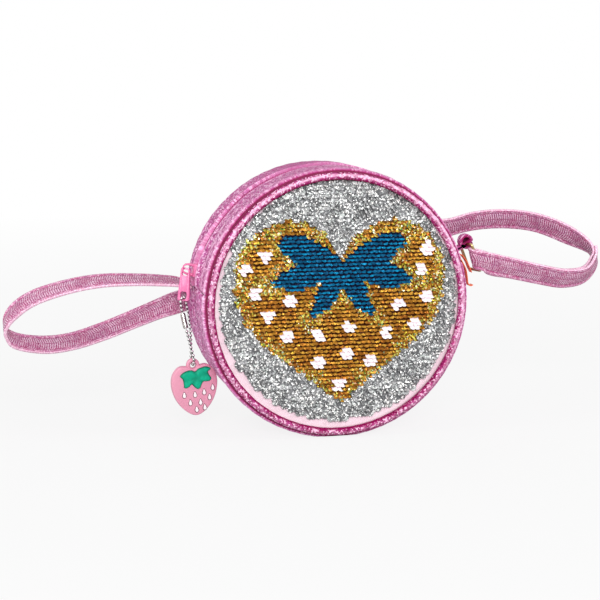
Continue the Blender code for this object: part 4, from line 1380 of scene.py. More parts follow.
    def lining_band(self, name: str, depths: Span, radius: float, span: Span, ground: float = 0.0) -> Piece:
        """Thin lining inside the side wall.

        Args:
            name: Name of the piece.
            depths: First and last place along the drum's axis.
            radius: Outer radius.
            span: First and last angle.
            ground: Lowest height of its outer face.

        Returns:
            The piece.
        """
        line = [DRUM.at(span[0], radius, depth) for depth in np.linspace(*depths, 11).tolist()]
        piece = Bench.sweep(name, line, span[1] - span[0], round((span[1] - span[0]) / 2.5))
        places = Bench.places(piece)
        places[:, 2] = np.maximum(places[:, 2], ground)
        Bench.move(piece, places)
        Bench.modify(piece, "SOLIDIFY", thickness=self.lining_wall, offset=-1.0)
        Bench.smooth(piece)
        return piece

    def build(self, dresser: Dresser) -> None:
        """Build the shell's pieces.

        Args:
            dresser: Dresser of the pieces.
        """
        seam, half = math.degrees(self.seam / DRUM.radius), DRUM.half_depth
        lower_span = DRUM.left_seam + seam, 360 + DRUM.right_seam - seam
        lower = self.wall("side_wall_lower", (-half, half), lower_span, False)
        dresser.dress(lower, Slot.GLITTER_MAUVE, stands_for=["lower_gusset"])
        upper_span = DRUM.right_seam + seam, DRUM.left_seam - seam
        for side, sign in SIDES:
            depths = sorted((sign * half, sign * DRUM.mouth))
            strip = self.wall(f"side_wall_{side}", depths, upper_span, True)
            dresser.dress(strip, Slot.GLITTER_PINK, stands_for=[f"upper_gusset_{side}"])
        finishes = (Slot.PALE_FABRIC, 0.0), (Slot.GLITTER_BACK, self.back_swell)
        for (side, sign), (slot, swell) in zip(SIDES, finishes):
            rim = DRUM.panel_radius + self.sewn_in
            panel = self.disc(f"panel_{side}", sign, DRUM.panel_face, rim, DRUM.wall, swell)
            dresser.dress(panel, slot, stands_for=[f"{side}_panel"])
        for side, sign in SIDES:
            dresser.dress(self.piping(f"piping_{side}", sign), Slot.PIPING, stands_for=[f"{side}_piping"])
        self.build_lining(dresser)

    def build_lining(self, dresser: Dresser) -> None:
        """Build the lining's pieces.

        Args:
            dresser: Dresser of the pieces.
        """
        face, rim = DRUM.panel_face - DRUM.wall - self.lining_gap, DRUM.panel_radius - self.lining_gap
        for side, sign in SIDES:
            piece = self.disc(f"inner_{side}", sign, face, rim, self.lining_wall)
            dresser.dress(piece, Slot.LINING, stands_for=[f"lining_{side}"])
        reach = face - self.lining_wall - self.lining_gap
        lower_span, upper_span = ((DRUM.left_seam + 1.0, 359.0 + DRUM.right_seam),
                                  (DRUM.right_seam + 1.0, DRUM.left_seam - 1.0))
        lower = self.lining_band("inner_lower", (-reach, reach), self.lining_low, lower_span,
                                 self.lining_ground)
        dresser.dress(lower, Slot.LINING, stands_for=["lining_lower"])
        for side, sign in SIDES:
            depths = sorted((sign * reach, sign * self.lining_mouth))
            strip = self.lining_band(f"inner_{side}_top", depths, self.lining_top, upper_span)
            dresser.dress(strip, Slot.LINING, stands_for=[f"lining_upper_{side}"])


def inside(outline: Sequence[Sequence[float]], across: float, up: float) -> bool:
    """Whether a place lies inside an outline.

    Args:
        outline: Corners as across and up.
        across: Place across.
        up: Place up.

    Returns:
        True inside.
    """
    within = False
    for (x0, z0), (x1, z1) in zip(outline, [*outline[1:], outline[0]]):
        if (z0 > up) != (z1 > up) and across < (x1 - x0) * (up - z0) / (z1 - z0) + x0:
            within = not within
    return within


def rim_distance(outline: Sequence[Sequence[float]], across: float, up: float) -> float:
    """Shortest distance from a place to an outline.

    Args:
        outline: Corners as across and up.
        across: Place across.
        up: Place up.

    Returns:
        The distance, in the outline's unit.
    """
    spot = np.array([across, up])
    best = math.inf
    for first, last in zip(outline, [*outline[1:], outline[0]]):
        start, edge = np.array(first, float), np.array(last, float) - np.array(first, float)
        share = min(max(float(np.dot(spot - start, edge) / np.dot(edge, edge)), 0.0), 1.0)
        best = min(best, float(np.linalg.norm(spot - start - edge * share)))
    return best


def mirrored(cleft: Row, half: Sequence[Row], low: Row) -> list[Row]:
    """Loop of a cleft, the right half downwards, a low point, and the half mirrored about their line."""
    return [cleft, *half, low, *[(2.0 * cleft[0] - x, up) for x, up in reversed(half)]]


def half_turn(middle: Vector, first: Vector, side: Vector, radius: float) -> list[Vector]:
    """Find seven places on a half circle about a middle, from the first way over the side way."""
    turns = [math.radians(30 * step) for step in range(7)]
    return [middle + (first * math.cos(turn) + side * math.sin(turn)) * radius for turn in turns]


@dataclass
class SequinFace:
    """Rows of overlapping flat sequins: silver field, gold heart, blue leaves and white seeds."""

    field_radius: float = 80.1 * MM
    field_across: float = 1.1 * MM
    field_rise: float = 2.7 * MM
    sequin_radius: float = 2.6 * MM
    sequin_wall: float = 0.14 * MM
    row_pitch: float = 2.6 * MM
    pitch: float = 3.2 * MM
    tilt: float = 12.0
    depth: float = 35.0 * MM
    backing_depth: float = 33.75 * MM
    backing_wall: float = 0.35 * MM

    def heart(self) -> list[Row]:
        """Heart as a smooth loop of across and up, in millimetres.

        Returns:
            Its points.
        """
        half = [(9.0, 41.0), (22.0, 52.0), (38.0, 55.5), (55.0, 50.0), (68.0, 37.0), (73.0, 16.0),
                (69.0, -4.0), (57.0, -22.0), (38.0, -38.0), (19.0, -52.0)]
        return smooth_curve(mirrored((2.0, 28.5), half, (2.0, -65.0)), 3, closed=True)

    def leaves(self) -> list[Row]:
        """Leaf crown as a loop of across and up, in millimetres.

        Returns:
            Its points.
        """
        half = [(12.0, 37.0), (27.0, 45.5), (44.0, 46.0), (46.5, 39.0), (34.0, 28.0), (54.0, 15.0),
                (42.0, 11.0), (29.0, 11.0), (18.0, 15.0), (25.0, -9.0), (10.0, -1.0)]
        return mirrored((3.0, 28.5), half, (3.0, 10.0))

    def seeds(self) -> list[Row]:
        """Middles of the white seeds as across and up, in millimetres.

        Returns:
            The middles.
        """
        return [(-48.0, 32.8), (-61.0, 25.1), (-55.8, 8.7), (-32.6, 3.5), (-45.7, -6.1), (-33.1, -20.6),
                (-12.9, -20.0), (7.4, -15.5), (7.0, -32.2), (32.4, -19.5), (53.1, -14.5), (41.3, -1.2),
                (61.0, 2.5), (57.2, 21.7), (61.1, 35.7), (-12.9, -38.6), (23.5, -38.8), (1.1, -53.0)]

    def sequin(self) -> Stamp:
        """Model one sequin as a stamp: a thin ten-sided disc that lies across X and Y.

        Returns:
            The stamp.
        """
        Bench.clear()
        bpy.ops.mesh.primitive_circle_add(vertices=10, radius=self.sequin_radius, fill_type="NGON")
        piece = Bench.settle("sequin")
        Bench.raise_face(piece, Vector((0.0, 0.0, self.sequin_wall)))
        return Stamp.take(piece)

    def build(self, dresser: Dresser) -> None:
        """Lay the rows, sort the sequins by colour and build each colour's piece.

        Args:
            dresser: Dresser of the pieces.
        """
        outlines = self.heart(), self.leaves(), self.seeds()
        chance = random.Random(7)
        names = {Slot.SILVER: ("sequins_silver", ["sequin_patch"]),
                 Slot.GOLD: ("sequins_gold", ["sequin_heart"]),
                 Slot.BLUE: ("sequins_blue", ["sequin_leaves"]),
                 Slot.WHITE: ("sequins_white", [])}
        lots: dict[Slot, list[tuple[Matrix, float, float]]] = {slot: [] for slot in names}
        columns = int(2 * self.field_radius / self.pitch) + 3
        for row in range(int(2 * self.field_radius / self.row_pitch) + 3):
            up = self.field_rise + self.field_radius + self.sequin_radius - row * self.row_pitch
            shift = (row % 2) * self.pitch / 2
            for column in range(columns):
                across = (column - columns / 2) * self.pitch + shift + chance.uniform(-0.5, 0.5) * MM
                shown = (across / MM, (up - 0.56 * self.sequin_radius) / MM)
                reach = math.hypot(across - self.field_across, up - self.field_rise)
                if reach > self.field_radius - self.sequin_radius / 2:
                    continue
                slot, stir = self.sort(shown, outlines, chance)
                lots[slot].append(self.lay(across, up + chance.uniform(-0.18, 0.18) * MM, slot, stir, chance))
        stamp = self.sequin()
        for slot, lot in lots.items():
            name, nodes = names[slot]
            spots, shares, stirs = zip(*lot)
            dresser.dress(stamp.repeat(name, spots, {"lot": shares, "stir": stirs}), slot, stands_for=nodes)
        dresser.dress(self.backing(), Slot.BACKING)

    def sort(self, spot: Row, outlines: Sequence[Sequence[Row]], chance: random.Random) -> tuple[Slot, float]:
        """Choose a sequin's colour by where its free edge shows, and how far it is stirred up.

        Args:
            spot: Across and up of its free edge, in millimetres.
            outlines: Outlines of the heart and the leaves, and middles of the seeds.
            chance: Seeded chance.

        Returns:
            The colour and the stir from 0 to 1.
        """
        (across, up), (heart, leaves, seeds) = spot, outlines
        if not inside(heart, across, up):
            return Slot.SILVER, 1.0
        if inside(leaves, across, up):
            return Slot.BLUE, 0.0
        for x, z in seeds:
            if math.hypot((across - x) / 4.4, (up - z) / 4.1) < chance.uniform(0.85, 1.1):
                return Slot.WHITE, 0.3
        near = min(rim_distance(heart, across, up), rim_distance(leaves, across, up) + 3.0)
        patch = math.sin(across * 0.11 + 1.0) * math.sin(up * 0.13 + 0.4)
        high = 0.45 if up > 8.0 and abs(across) > 40.0 else 0.15
        stir = 1.0 - near / 9.0 + 0.45 * patch + high + chance.uniform(-0.25, 0.25)
        return Slot.GOLD, min(max(stir, 0.0), 1.0)

    def lay(self, across: float, up: float, slot: Slot, stir: float,
            chance: random.Random) -> tuple[Matrix, float, float]:
        """Lay one sequin in its row.

        Args:
            across: Place across.
            up: Place up from the drum's axis.
            slot: Its colour.
            stir: How far it is stirred up.
            chance: Seeded chance.

        Returns:
            Its place and turn, its lot and its stir.
        """
        wild = {Slot.SILVER: 17.0, Slot.GOLD: 2.5 + 11.0 * stir, Slot.BLUE: 3.0, Slot.WHITE: 3.0}[slot]
        place = Matrix.Translation(Vector((across, -self.depth, DRUM.axis_height + up)))
        stand = Matrix.Rotation(math.radians(90.0 - self.tilt + chance.uniform(-wild, wild) * 0.7), 4, "X")
        yaw = Matrix.Rotation(math.radians(5.0 + chance.uniform(-wild, wild)), 4, "Y")
        spin = Matrix.Rotation(math.radians(18.0 * chance.randrange(2)), 4, "Z")
        return place @ stand @ yaw @ spin, chance.random(), stir

    def backing(self) -> Piece:
        """Cloth disc under the sequins.

        Returns:
            The piece.
        """
        Bench.clear()
        bpy.ops.mesh.primitive_circle_add(
            vertices=96, radius=self.field_radius - 2.0 * MM, fill_type="NGON",
            location=(self.field_across, -self.backing_depth, DRUM.axis_height + self.field_rise),
            rotation=(math.pi / 2, 0.0, 0.0))
        piece = Bench.settle("sequin_backing")
        Bench.raise_face(piece, AXIS * -self.backing_wall)
        Bench.round_edges(piece, 0.12 * MM, 2)
        return piece


@dataclass
class ZipTrack:
    """Woven tapes, coil teeth and end stops round the top of the drum."""

    tape_width: float = 15.5 * MM
    tape_top: float = 87.1 * MM
    tape_wall: float = 0.8 * MM
    tape_split: float = 0.03 * MM
    half_split: float = 0.5 * MM
    tooth_reach: float = 2.4 * MM
    tooth_height: float = 1.6 * MM
    tooth_pitch: float = 1.5 * MM
    coil_gap: float = 0.3 * MM
    stop_length: float = 2.4 * MM
    stop_height: float = 2.7 * MM
    stop_bend: float = 0.8 * MM

    def span(self) -> tuple[float, float]:
        """First and last angle of the tapes."""
        inset = math.degrees(1.2 * MM / DRUM.radius)
        return DRUM.right_seam + inset, DRUM.left_seam - inset

    def tape(self, name: str, side: int) -> Piece:
        """Lay one woven tape, which sinks a little at its edges and beside its coil.

        Args:
            name: Name of the piece.
            side: -1 for the front and 1 for the back.

        Returns:
            The piece.
        """
        first, last = self.span()
        section = [(0.0, -0.15), (0.03, 0.0), (0.08, 0.0), (0.14, 0.0), (0.2, -0.05), (0.3, 0.0), (0.5, 0.0),
                   (0.75, 0.0), (1.0, -0.1)]
        line = [DRUM.at(first, self.tape_top + high * MM, side * (self.tape_split + self.tape_width * share))
                for share, high in section]
        piece = Bench.sweep(name, line, last - first, 120)
        Bench.modify(piece, "SOLIDIFY", thickness=self.tape_wall, offset=-1.0)
        Bench.smooth(piece)
        return piece

    def tooth(self) -> Stamp:
        """Model one turn of the coil as a stamp: a rounded block that narrows away from its foot.

        Returns:
            The stamp.
        """
        size = self.tooth_reach, self.tooth_pitch * 0.72, self.tooth_height
        Bench.clear()
        bpy.ops.mesh.primitive_cube_add(size=1.0, scale=size)
        piece = Bench.settle("tooth")
        places = Bench.places(piece)
        top = places[:, 2] > 0
        places[top, 0] *= 0.72
        places[top, 1] *= 0.8
        Bench.move(piece, places)
        Bench.modify(piece, "BEVEL", width=0.28 * MM, segments=1, limit_method="NONE")
        return Stamp.take(piece)

    def coil(self, name: str, side: int, stamp: Stamp) -> Piece:
        """Set the turns of one coil along its tape.

        Args:
            name: Name of the piece.
            side: -1 for the front and 1 for the back.
            stamp: One turn.

        Returns:
            The piece.
        """
        first, last = self.span()
        stop = math.degrees((self.stop_length + 0.6 * MM) / DRUM.radius)
        step = math.degrees(self.tooth_pitch / 88.0 / MM)
        radius = self.tape_top + self.coil_gap + self.tooth_height / 2
        spots = []
        for number in range(int((last - first - 2 * stop - step) / step) + 1):
            angle = first + stop + step * (number + 0.5 + side * 0.25)
            out, across = DRUM.out(angle), AXIS * side
            place = DRUM.at(angle, radius, side * (self.half_split + self.tooth_reach / 2))
            turn = Matrix((across, out.cross(across), out)).transposed().to_4x4()
            spots.append(Matrix.Translation(place) @ turn)
        return stamp.repeat(name, spots)

    def stop(self, name: str, start: float) -> Piece:
        """Bend one end stop over both coils.

        Args:
            name: Name of the piece.
            start: First angle in degrees.

        Returns:
            The piece.
        """
        reach, bend = self.half_split + self.tooth_reach + 0.5 * MM, self.stop_bend
        low, high = self.tape_top + self.coil_gap, self.tape_top + self.stop_height
        half = [(-reach, low), (-reach, high - bend), (-reach + bend, high)]
        section = [*half, *[(-depth, radius) for depth, radius in reversed(half)]]
        piece = Bench.chain(name, [DRUM.at(start, radius, depth) for depth, radius in section], filled=True)
        ahead = DRUM.at(start + math.degrees(self.stop_length / DRUM.radius), 88.0 * MM, 0.0)
        Bench.raise_face(piece, ahead - DRUM.at(start, 88.0 * MM, 0.0))
        Bench.round_edges(piece, 0.3 * MM, 3)
        Bench.smooth(piece, 40.0)
        return piece

    def build(self, dresser: Dresser) -> None:
        """Build the track's pieces.

        Args:
            dresser: Dresser of the pieces.
        """
        tooth = self.tooth()
        for side, sign in SIDES:
            dresser.dress(self.tape(f"tape_{side}", sign), Slot.ZIP, stands_for=[f"zip_tape_{side}"])
            dresser.dress(self.coil(f"coil_{side}", sign, tooth), Slot.ZIP, stands_for=[f"zip_teeth_{side}"])
        first, last = self.span()
        for end, start in (("right", first), ("left", last - math.degrees(self.stop_length / DRUM.radius))):
            dresser.dress(self.stop(f"end_stop_{end}", start), Slot.PAINTED, stands_for=[f"zip_stop_{end}"])


@dataclass
class PullAndChain:
    """Painted slider and pull, and the bead chain that carries the charm."""

    nodes: Mapping[str, Piece]
    slider_angle: float = 166.8
    slider_top: float = 90.5 * MM
    slider_length: float = 9.5 * MM
    bridge_rise: float = 9.4 * MM
    bridge_reach: float = 3.2 * MM
    bridge_wire: float = 0.5 * MM
    twist: float = 42.0
    lean: float = 8.0
    pull_length: float = 22.0 * MM
    pull_rim: float = 1.3 * MM
    pull_wall: float = 1.2 * MM
    hole_rim: float = 1.1 * MM
    bead_radius: float = 1.05 * MM
    bead_pitch: float = 2.75 * MM
    lug_turn: float = 3.8 * MM
    clasp_radius: float = 1.7 * MM

    def pull_frame(self) -> tuple[Vector, Vector, Vector]:
        """Find the pull's hinge, its way down and the level way out from the drum.

        Returns:
            The three vectors.
        """
        out = DRUM.out(self.slider_angle)
        top = DRUM.at(self.slider_angle, self.slider_top - 0.5 * MM, 0.0) + out * self.bridge_rise
        twist, lean = math.radians(self.twist), math.radians(self.lean)
        rim = math.hypot(self.pull_rim, self.pull_wall) / 2
        hinge = top - out * ((self.bridge_wire + rim + 0.1 * MM) / math.cos(twist))
        outward = Vector((-math.cos(twist), -math.sin(twist), 0.0))
        return hinge, Vector((0.0, 0.0, -math.cos(lean))) + outward * math.sin(lean), outward

    def chain_top(self) -> Vector:
        """Middle of the pull's bottom rim, round which the chain turns."""
        hinge, down, _ = self.pull_frame()
        return hinge + down * (self.pull_length - self.pull_rim / 2 - self.hole_rim / 2)

    def charm_bore(self) -> Vector:
        """Middle of the charm's lug bore."""
        return self.chain_top() + Vector((4.6, -7.0, -42.4)) * MM

    def route(self, face: Vector) -> tuple[list[Vector], Vector, Vector]:
        """Find the chain's way from the clasp's top, through pull and lug, to its foot.

        Args:
            face: Way out of the charm's face.

        Returns:
            Points of the way, and the clasp's top and foot.
        """
        _, _, outward = self.pull_frame()
        rim, lug = self.chain_top(), self.charm_bore() + UPWARD * self.lug_turn
        loop = self.hole_rim / 2 + self.bead_radius + 1.4 * MM
        centre = rim - UPWARD * (loop - self.hole_rim / 2 - self.bead_radius - 0.45 * MM)
        front, side = centre + outward * loop, centre - outward * loop
        foot, back = lug + face * self.lug_turn, lug - face * self.lug_turn
        top = front + (foot - front) * 0.17 + outward * 0.6 * MM
        low = front + (foot - front) * 0.47 + outward * 0.8 * MM
        over = half_turn(centre, outward, UPWARD, loop)
        run = [side + (back - side) * share + Vector((1.2, 1.4, 0.0)) * MM * math.sin(math.pi * share)
               for share in (0.25, 0.5, 0.75)]
        under = half_turn(lug, -face, -UPWARD, self.lug_turn)
        return [top, (top + front) / 2, *over, *run, *under, foot + (low - foot) * 0.5, low], top, low

    def beads(self, points: Sequence[Vector]) -> list[Vector]:
        """Spread the beads evenly along the chain.

        Args:
            points: Points of the chain's way.

        Returns:
            Middles of the beads.
        """
        fine = [Vector(row) for row in smooth_curve([tuple(point) for point in points], 12)]
        reach = [0.0]
        for here, after in zip(fine, fine[1:]):
            reach.append(reach[-1] + (after - here).length)
        count = max(round(reach[-1] / self.bead_pitch), 1)
        marks = np.linspace(0.0, reach[-1], count + 1)
        columns = [np.interp(marks, reach, [point[axis] for point in fine]) for axis in range(3)]
        ends = [Vector(row) for row in zip(*columns)]
        return [(here + after) / 2 for here, after in zip(ends, ends[1:])]

    def clasp(self, top: Vector, low: Vector) -> Piece:
        """Turn the clasp that closes the chain: an open sleeve with a slot along one side.

        Args:
            top: Upper end.
            low: Lower end.

        Returns:
            The piece.
        """
        run = (low - top).normalized()
        start, end = top + run * 0.5 * MM, low - run * 0.5 * MM
        length, middle = (end - start).length, (start + end) / 2
        Bench.clear()
        bpy.ops.mesh.primitive_cylinder_add(
            vertices=20, radius=self.clasp_radius, depth=length, location=middle,
            rotation=run.to_track_quat("Z", "Y").to_euler())
        piece = Bench.settle("chain_clasp")
        Bench.round_edges(piece, 1.15 * MM, 5, 60.0)
        _, _, outward = self.pull_frame()
        slot = (outward - run * outward.dot(run) + Vector((0.2, -0.7, 0.0))).normalized()
        with Bench.editing(piece):
            bpy.ops.mesh.select_all(action="DESELECT")
        for face in piece.data.polygons:
            inner = abs((face.center - middle).dot(run)) < 0.25 * length
            face.select = inner and face.normal.dot(slot) > 0.8
        bpy.ops.object.mode_set(mode="EDIT")
        bpy.ops.mesh.inset(thickness=0.18 * MM, depth=0.0)
        bpy.ops.mesh.inset(thickness=0.05 * MM, depth=-0.8 * MM)
        bpy.ops.object.mode_set(mode="OBJECT")
        sideways = run.cross(slot).normalized()
        reach = (Bench.places(piece) - np.array(middle)) @ np.array(sideways) / self.clasp_radius
        # tall here runs across the clasp, so that its painted reflection bands run along it
        Bench.mark(piece, "tall", np.clip(0.5 + reach / 2, 0.0, 1.0))
        Bench.smooth(piece, 40.0)
        return piece

    def bridge(self) -> Piece:
        """Cast the slider's bridge, thick at its feet and thin where the pull hangs.

        Returns:
            The piece.
        """
        out = DRUM.out(self.slider_angle)
        along = AXIS.cross(out)
        foot = DRUM.at(self.slider_angle, self.slider_top - 0.5 * MM, 0.0)
        half = [(0.0, 1.0, 2.6), (0.2, 1.0, 2.3), (0.42, 1.0, 1.9), (0.62, 1.0, 1.6), (0.78, 0.93, 1.4),
                (0.88, 0.8, 1.25), (0.97, 0.5, 1.1), (1.0, 0.0, 1.04)]
        arch = half + [(rise, -reach, swell) for rise, reach, swell in reversed(half[:-1])]
        points = [foot + out * (self.bridge_rise * rise) + along * (self.bridge_reach * reach)
                  for rise, reach, _ in arch]
        return Bench.tube("slider_bridge", points, self.bridge_wire, swell=[swell for _, _, swell in arch])

    def crown(self) -> Piece:
        """Round the slider's top plate.

        Returns:
            The piece.
        """
        half = [(-3.5, 90.2), (-3.3, 91.5), (-2.2, 92.5), (0.0, 92.9)]
        section = half + [(-depth, radius) for depth, radius in reversed(half[:-1])]
        sweep = math.degrees(self.slider_length / DRUM.radius) * 0.9
        start = self.slider_angle - sweep / 2
        line = [DRUM.at(start, radius * MM, depth * MM) for depth, radius in section]
        piece = Bench.chain("slider_crown", line, filled=True)
        end = DRUM.at(start + sweep, 91.0 * MM, 0.0)
        Bench.raise_face(piece, end - DRUM.at(start, 91.0 * MM, 0.0))
        Bench.round_edges(piece, 0.55 * MM, 4)
        Bench.smooth(piece)
        return piece

    def build(self, dresser: Dresser, face: Vector) -> None:
        """Build slider, pull, beads and clasp.

        Args:
            dresser: Dresser of the pieces.
            face: Way out of the charm's face.
        """
        for node, name, body in (("zip_slider", "slider_body", "slider"), ("zip_pull", "pull_tab", "pull")):
            piece = Bench.merged_copy(self.nodes[node], name)
            Bench.round_edges(piece, 0.2 * MM, 3, 35.0)
            Bench.smooth(piece, 45.0)
            dresser.dress(piece, Slot.PAINTED, body, [node])
        dresser.dress(self.bridge(), Slot.PAINTED, "slider")
        dresser.dress(self.crown(), Slot.PAINTED, "slider")
        points, top, low = self.route(face)
        middles = self.beads(points)
        Bench.clear()
        bpy.ops.mesh.primitive_uv_sphere_add(segments=14, ring_count=9, radius=self.bead_radius)
        bead = Stamp.take(Bench.settle("bead"))
        chain = bead.repeat("chain_beads", [Matrix.Translation(middle) for middle in middles])
        Bench.smooth(chain, 60.0)
        wire = Bench.tube("chain_wire", [top, *middles, low], 0.36 * MM, sides=2)
        dresser.dress(chain, Slot.STEEL, "chain", ["ball_chain"])
        dresser.dress(wire, Slot.STEEL, "chain")
        dresser.dress(self.clasp(top, low), Slot.CLASP, "chain", ["chain_connector"])


@dataclass
class StrawberryCharm:
    """Soft vinyl strawberry with a lug, a leaf cap and raised seeds."""

    bore: Vector
    turn: float = 6.0
    roll: float = 3.8
    width: float = 31.0 * MM
    height: float = 34.0 * MM
    wall: float = 5.0 * MM
    lug_wall: float = 3.0 * MM
    lug_radius: float = 4.35 * MM
    lug_bore: float = 2.0 * MM
    crease: float = 0.8 * MM

    def axes(self) -> tuple[Vector, Vector, Vector]:
        """Find the ways across the charm, down it and out of its face.

        Returns:
            The three ways.
        """
        turn, roll = math.radians(self.turn), math.radians(self.roll)
        level = Vector((math.cos(turn), math.sin(turn), 0.0))
        across = level * math.cos(roll) + UPWARD * math.sin(roll)
        down = level * math.sin(roll) - UPWARD * math.cos(roll)
        return across, down, Vector((math.sin(turn), -math.cos(turn), 0.0))

    def spot(self, across: float, down: float, out: float) -> Vector:
        """Find a place by its shares of half the width and of the height, and metres out of the middle."""
        side, low, face = self.axes()
        return self.bore + side * (across * self.width / 2) + low * (down * self.height) + face * out

    def slab(self, name: str, outline: Sequence[Row], low: float, high: float, width: float,
             steps: Sequence[tuple[float, float]], grow: float = 0.0) -> Piece:
        """Cut a flat shape, thicken it, round its rim and swell its face.

        Args:
            name: Name of the piece.
            outline: Shares across and down.
            low: Depth of its back.
            high: Depth of its face.
            width: Width of the round rim.
            steps: Insets that swell the face.
            grow: Metres by which the outline is grown.

        Returns:
            The piece.
        """
        _, _, face = self.axes()
        points = [self.spot(across, down, low) for across, down in outline]
        middle = sum(points, Vector()) / len(points)
        points = [point + (point - middle).normalized() * grow for point in points]
        piece = Bench.chain(name, points, filled=True)
        Bench.raise_face(piece, face * (high - low))
        if steps:
            Bench.inset_facing(piece, face, steps)
        Bench.round_edges(piece, width, 4, 50.0)
        Bench.face_out(piece)
        Bench.smooth(piece)
        return piece

    def pillow(self, name: str, outline: Sequence[Row], low: float, high: float, swell: float) -> Piece:
        """Puff up a flat shape, so that every lobe of it is round.

        Args:
            name: Name of the piece.
            outline: Loop of across and down shares.
            low: Height of its base over the middle plane.
            high: Height of its rim.
            swell: Rise of its widest places over the rim.

        Returns:
            The piece.
        """
        side, lower, face = self.axes()
        piece = Bench.chain(name, [self.spot(across, down, low) for across, down in outline], filled=True)
        Bench.raise_face(piece, face * (high - low))
        Bench.face_out(piece)
        with Bench.editing(piece):
            bpy.ops.mesh.quads_convert_to_tris()
            bpy.ops.mesh.subdivide(number_cuts=7)
        places = Bench.places(piece)
        gap = places - np.array(self.bore)
        flat = np.stack([gap @ np.array(side), gap @ np.array(lower)], axis=1)
        corners = np.array([[across * self.width / 2, down * self.height] for across, down in outline])
        ends = np.roll(corners, -1, axis=0) - corners
        reach = flat[:, None, :] - corners[None, :, :]
        share = np.clip((reach * ends).sum(axis=2) / (ends * ends).sum(axis=1), 0.0, 1.0)
        rim_gap = np.linalg.norm(reach - share[:, :, None] * ends[None, :, :], axis=2).min(axis=1)
        middle = corners.mean(axis=0) - (0.0, self.crease)
        to_crease = np.full(len(flat), 1.0)
        for way in corners[self.valleys(corners)] - middle:
            share = np.clip((flat - middle) @ way / (way @ way), 0.0, 1.0)
            to_crease = np.minimum(to_crease, np.linalg.norm(flat - middle - share[:, None] * way, axis=1))
        crease = hump(to_crease, 0.0, self.crease)
        top = gap @ np.array(face) > high - 1e-5
        full = 1.0 - np.clip(1.0 - rim_gap / (1.9 * MM), 0.0, 1.0) ** 2
        rise = swell * np.sqrt(full) * (1.0 - 0.3 * crease)
        Bench.move(piece, places + np.outer(np.where(top, rise, 0.0), np.array(face)))
        # painted shade at the leaf's edges and along its creases
        edge = (1.0 - np.clip(rim_gap / (1.5 * MM), 0.0, 1.0)) ** 1.6
        Bench.mark(piece, "rim", np.maximum(edge, 0.3 * crease))
        Bench.smooth(piece, 60.0)
        return piece

    @staticmethod
    def valleys(corners: np.ndarray) -> list[int]:
        """Find the notches of an outline, one for each run of corners that turn inwards.

        Args:
            corners: Outline in metres.

        Returns:
            Numbers of the corners.
        """
        reach, window = np.linalg.norm(corners - corners.mean(axis=0), axis=1), range(-5, 6)
        count = len(corners)
        return [number for number in range(count)
                if reach[number] == min(reach[(number + step) % count] for step in window)]

    def body_outline(self) -> list[Row]:
        """Strawberry's outline as shares across and down."""
        half = [(0.3, 0.015), (0.64, 0.02), (0.94, 0.18), (1.0, 0.38), (0.87, 0.63), (0.52, 0.87)]
        return smooth_curve(mirrored((0.0, 0.065), half, (0.0, 1.0)), 6, closed=True)

    def lug(self) -> Piece:
        """Round lug with its bore, spun from a rounded section.

        Returns:
            The piece.
        """
        _, _, face = self.axes()
        half, corner = self.lug_wall / 2, 0.5 * MM
        back = [(self.lug_bore, corner - half), (self.lug_bore + corner, -half),
                (self.lug_radius - corner, -half), (self.lug_radius, corner - half)]
        section = [*back, *[(reach, -out) for reach, out in reversed(back)], back[0]]
        piece = Bench.chain("charm_lug", [self.bore + UPWARD * reach + face * out for reach, out in section])
        Bench.spin(piece, self.bore, face, 360.0, 32)
        Bench.face_out(piece)
        Bench.smooth(piece)
        return piece

    def seed(self, name: str, across: float, down: float, grow: float, out: float) -> Piece:
        """Shape one drop-shaped seed.

        Args:
            name: Name of the piece.
            across: Share across of its middle.
            down: Share down of its middle.
            grow: Metres by which it is grown, for its dark rim.
            out: Depth of its face.

        Returns:
            The piece.
        """
        drop = [(0.0, -2.1), (0.8, -0.6), (1.15, 0.7), (0.6, 1.8), (-0.6, 1.8), (-1.15, 0.7), (-0.8, -0.6)]
        loop = smooth_curve(drop, 2, closed=True)
        outline = [(across + x * MM / (self.width / 2), down + y * MM / self.height) for x, y in loop]
        return self.slab(name, outline, self.wall / 2 - 0.4 * MM, out, 0.15 * MM, [], grow)

    def build(self, dresser: Dresser) -> None:
        """Build the charm's pieces.

        Args:
            dresser: Dresser of the pieces.
        """
        half = self.wall / 2
        swell = [(0.8 * MM, 0.0), (1.6 * MM, 0.22 * MM), (2.4 * MM, 0.12 * MM)]
        body = self.slab("strawberry", self.body_outline(), -half, half - 0.2 * MM, 1.1 * MM, swell)
        dresser.dress(body, Slot.CHARM, "charm", ["charm_body"])
        dresser.dress(self.lug(), Slot.CHARM, "charm")
        leaf = [(0.04, 0.12), (-0.10, 0.09), (-0.32, 0.09), (-0.50, 0.12), (-0.64, 0.18), (-0.53, 0.25),
                (-0.50, 0.34), (-0.50, 0.41), (-0.40, 0.43), (-0.26, 0.41), (-0.15, 0.37), (-0.04, 0.43),
                (0.10, 0.475), (0.20, 0.46), (0.29, 0.39), (0.36, 0.345), (0.47, 0.345), (0.66, 0.34),
                (0.73, 0.295), (0.63, 0.21), (0.60, 0.155), (0.74, 0.10), (0.54, 0.05), (0.35, 0.055),
                (0.16, 0.08)]
        leaf = smooth_curve(leaf, 3, closed=True)
        cap = self.pillow("leaf_cap", leaf, half + 0.05 * MM, half + 0.35 * MM, 1.2 * MM)
        dresser.dress(cap, Slot.LEAF, "charm", ["charm_leaves"])
        spots = [(-0.51, 0.562), (-0.04, 0.576), (0.37, 0.547), (0.76, 0.476), (0.59, 0.66), (0.18, 0.74),
                 (-0.27, 0.726), (0.35, 0.85), (-0.01, 0.873)]
        for number, spot in enumerate(spots, 1):
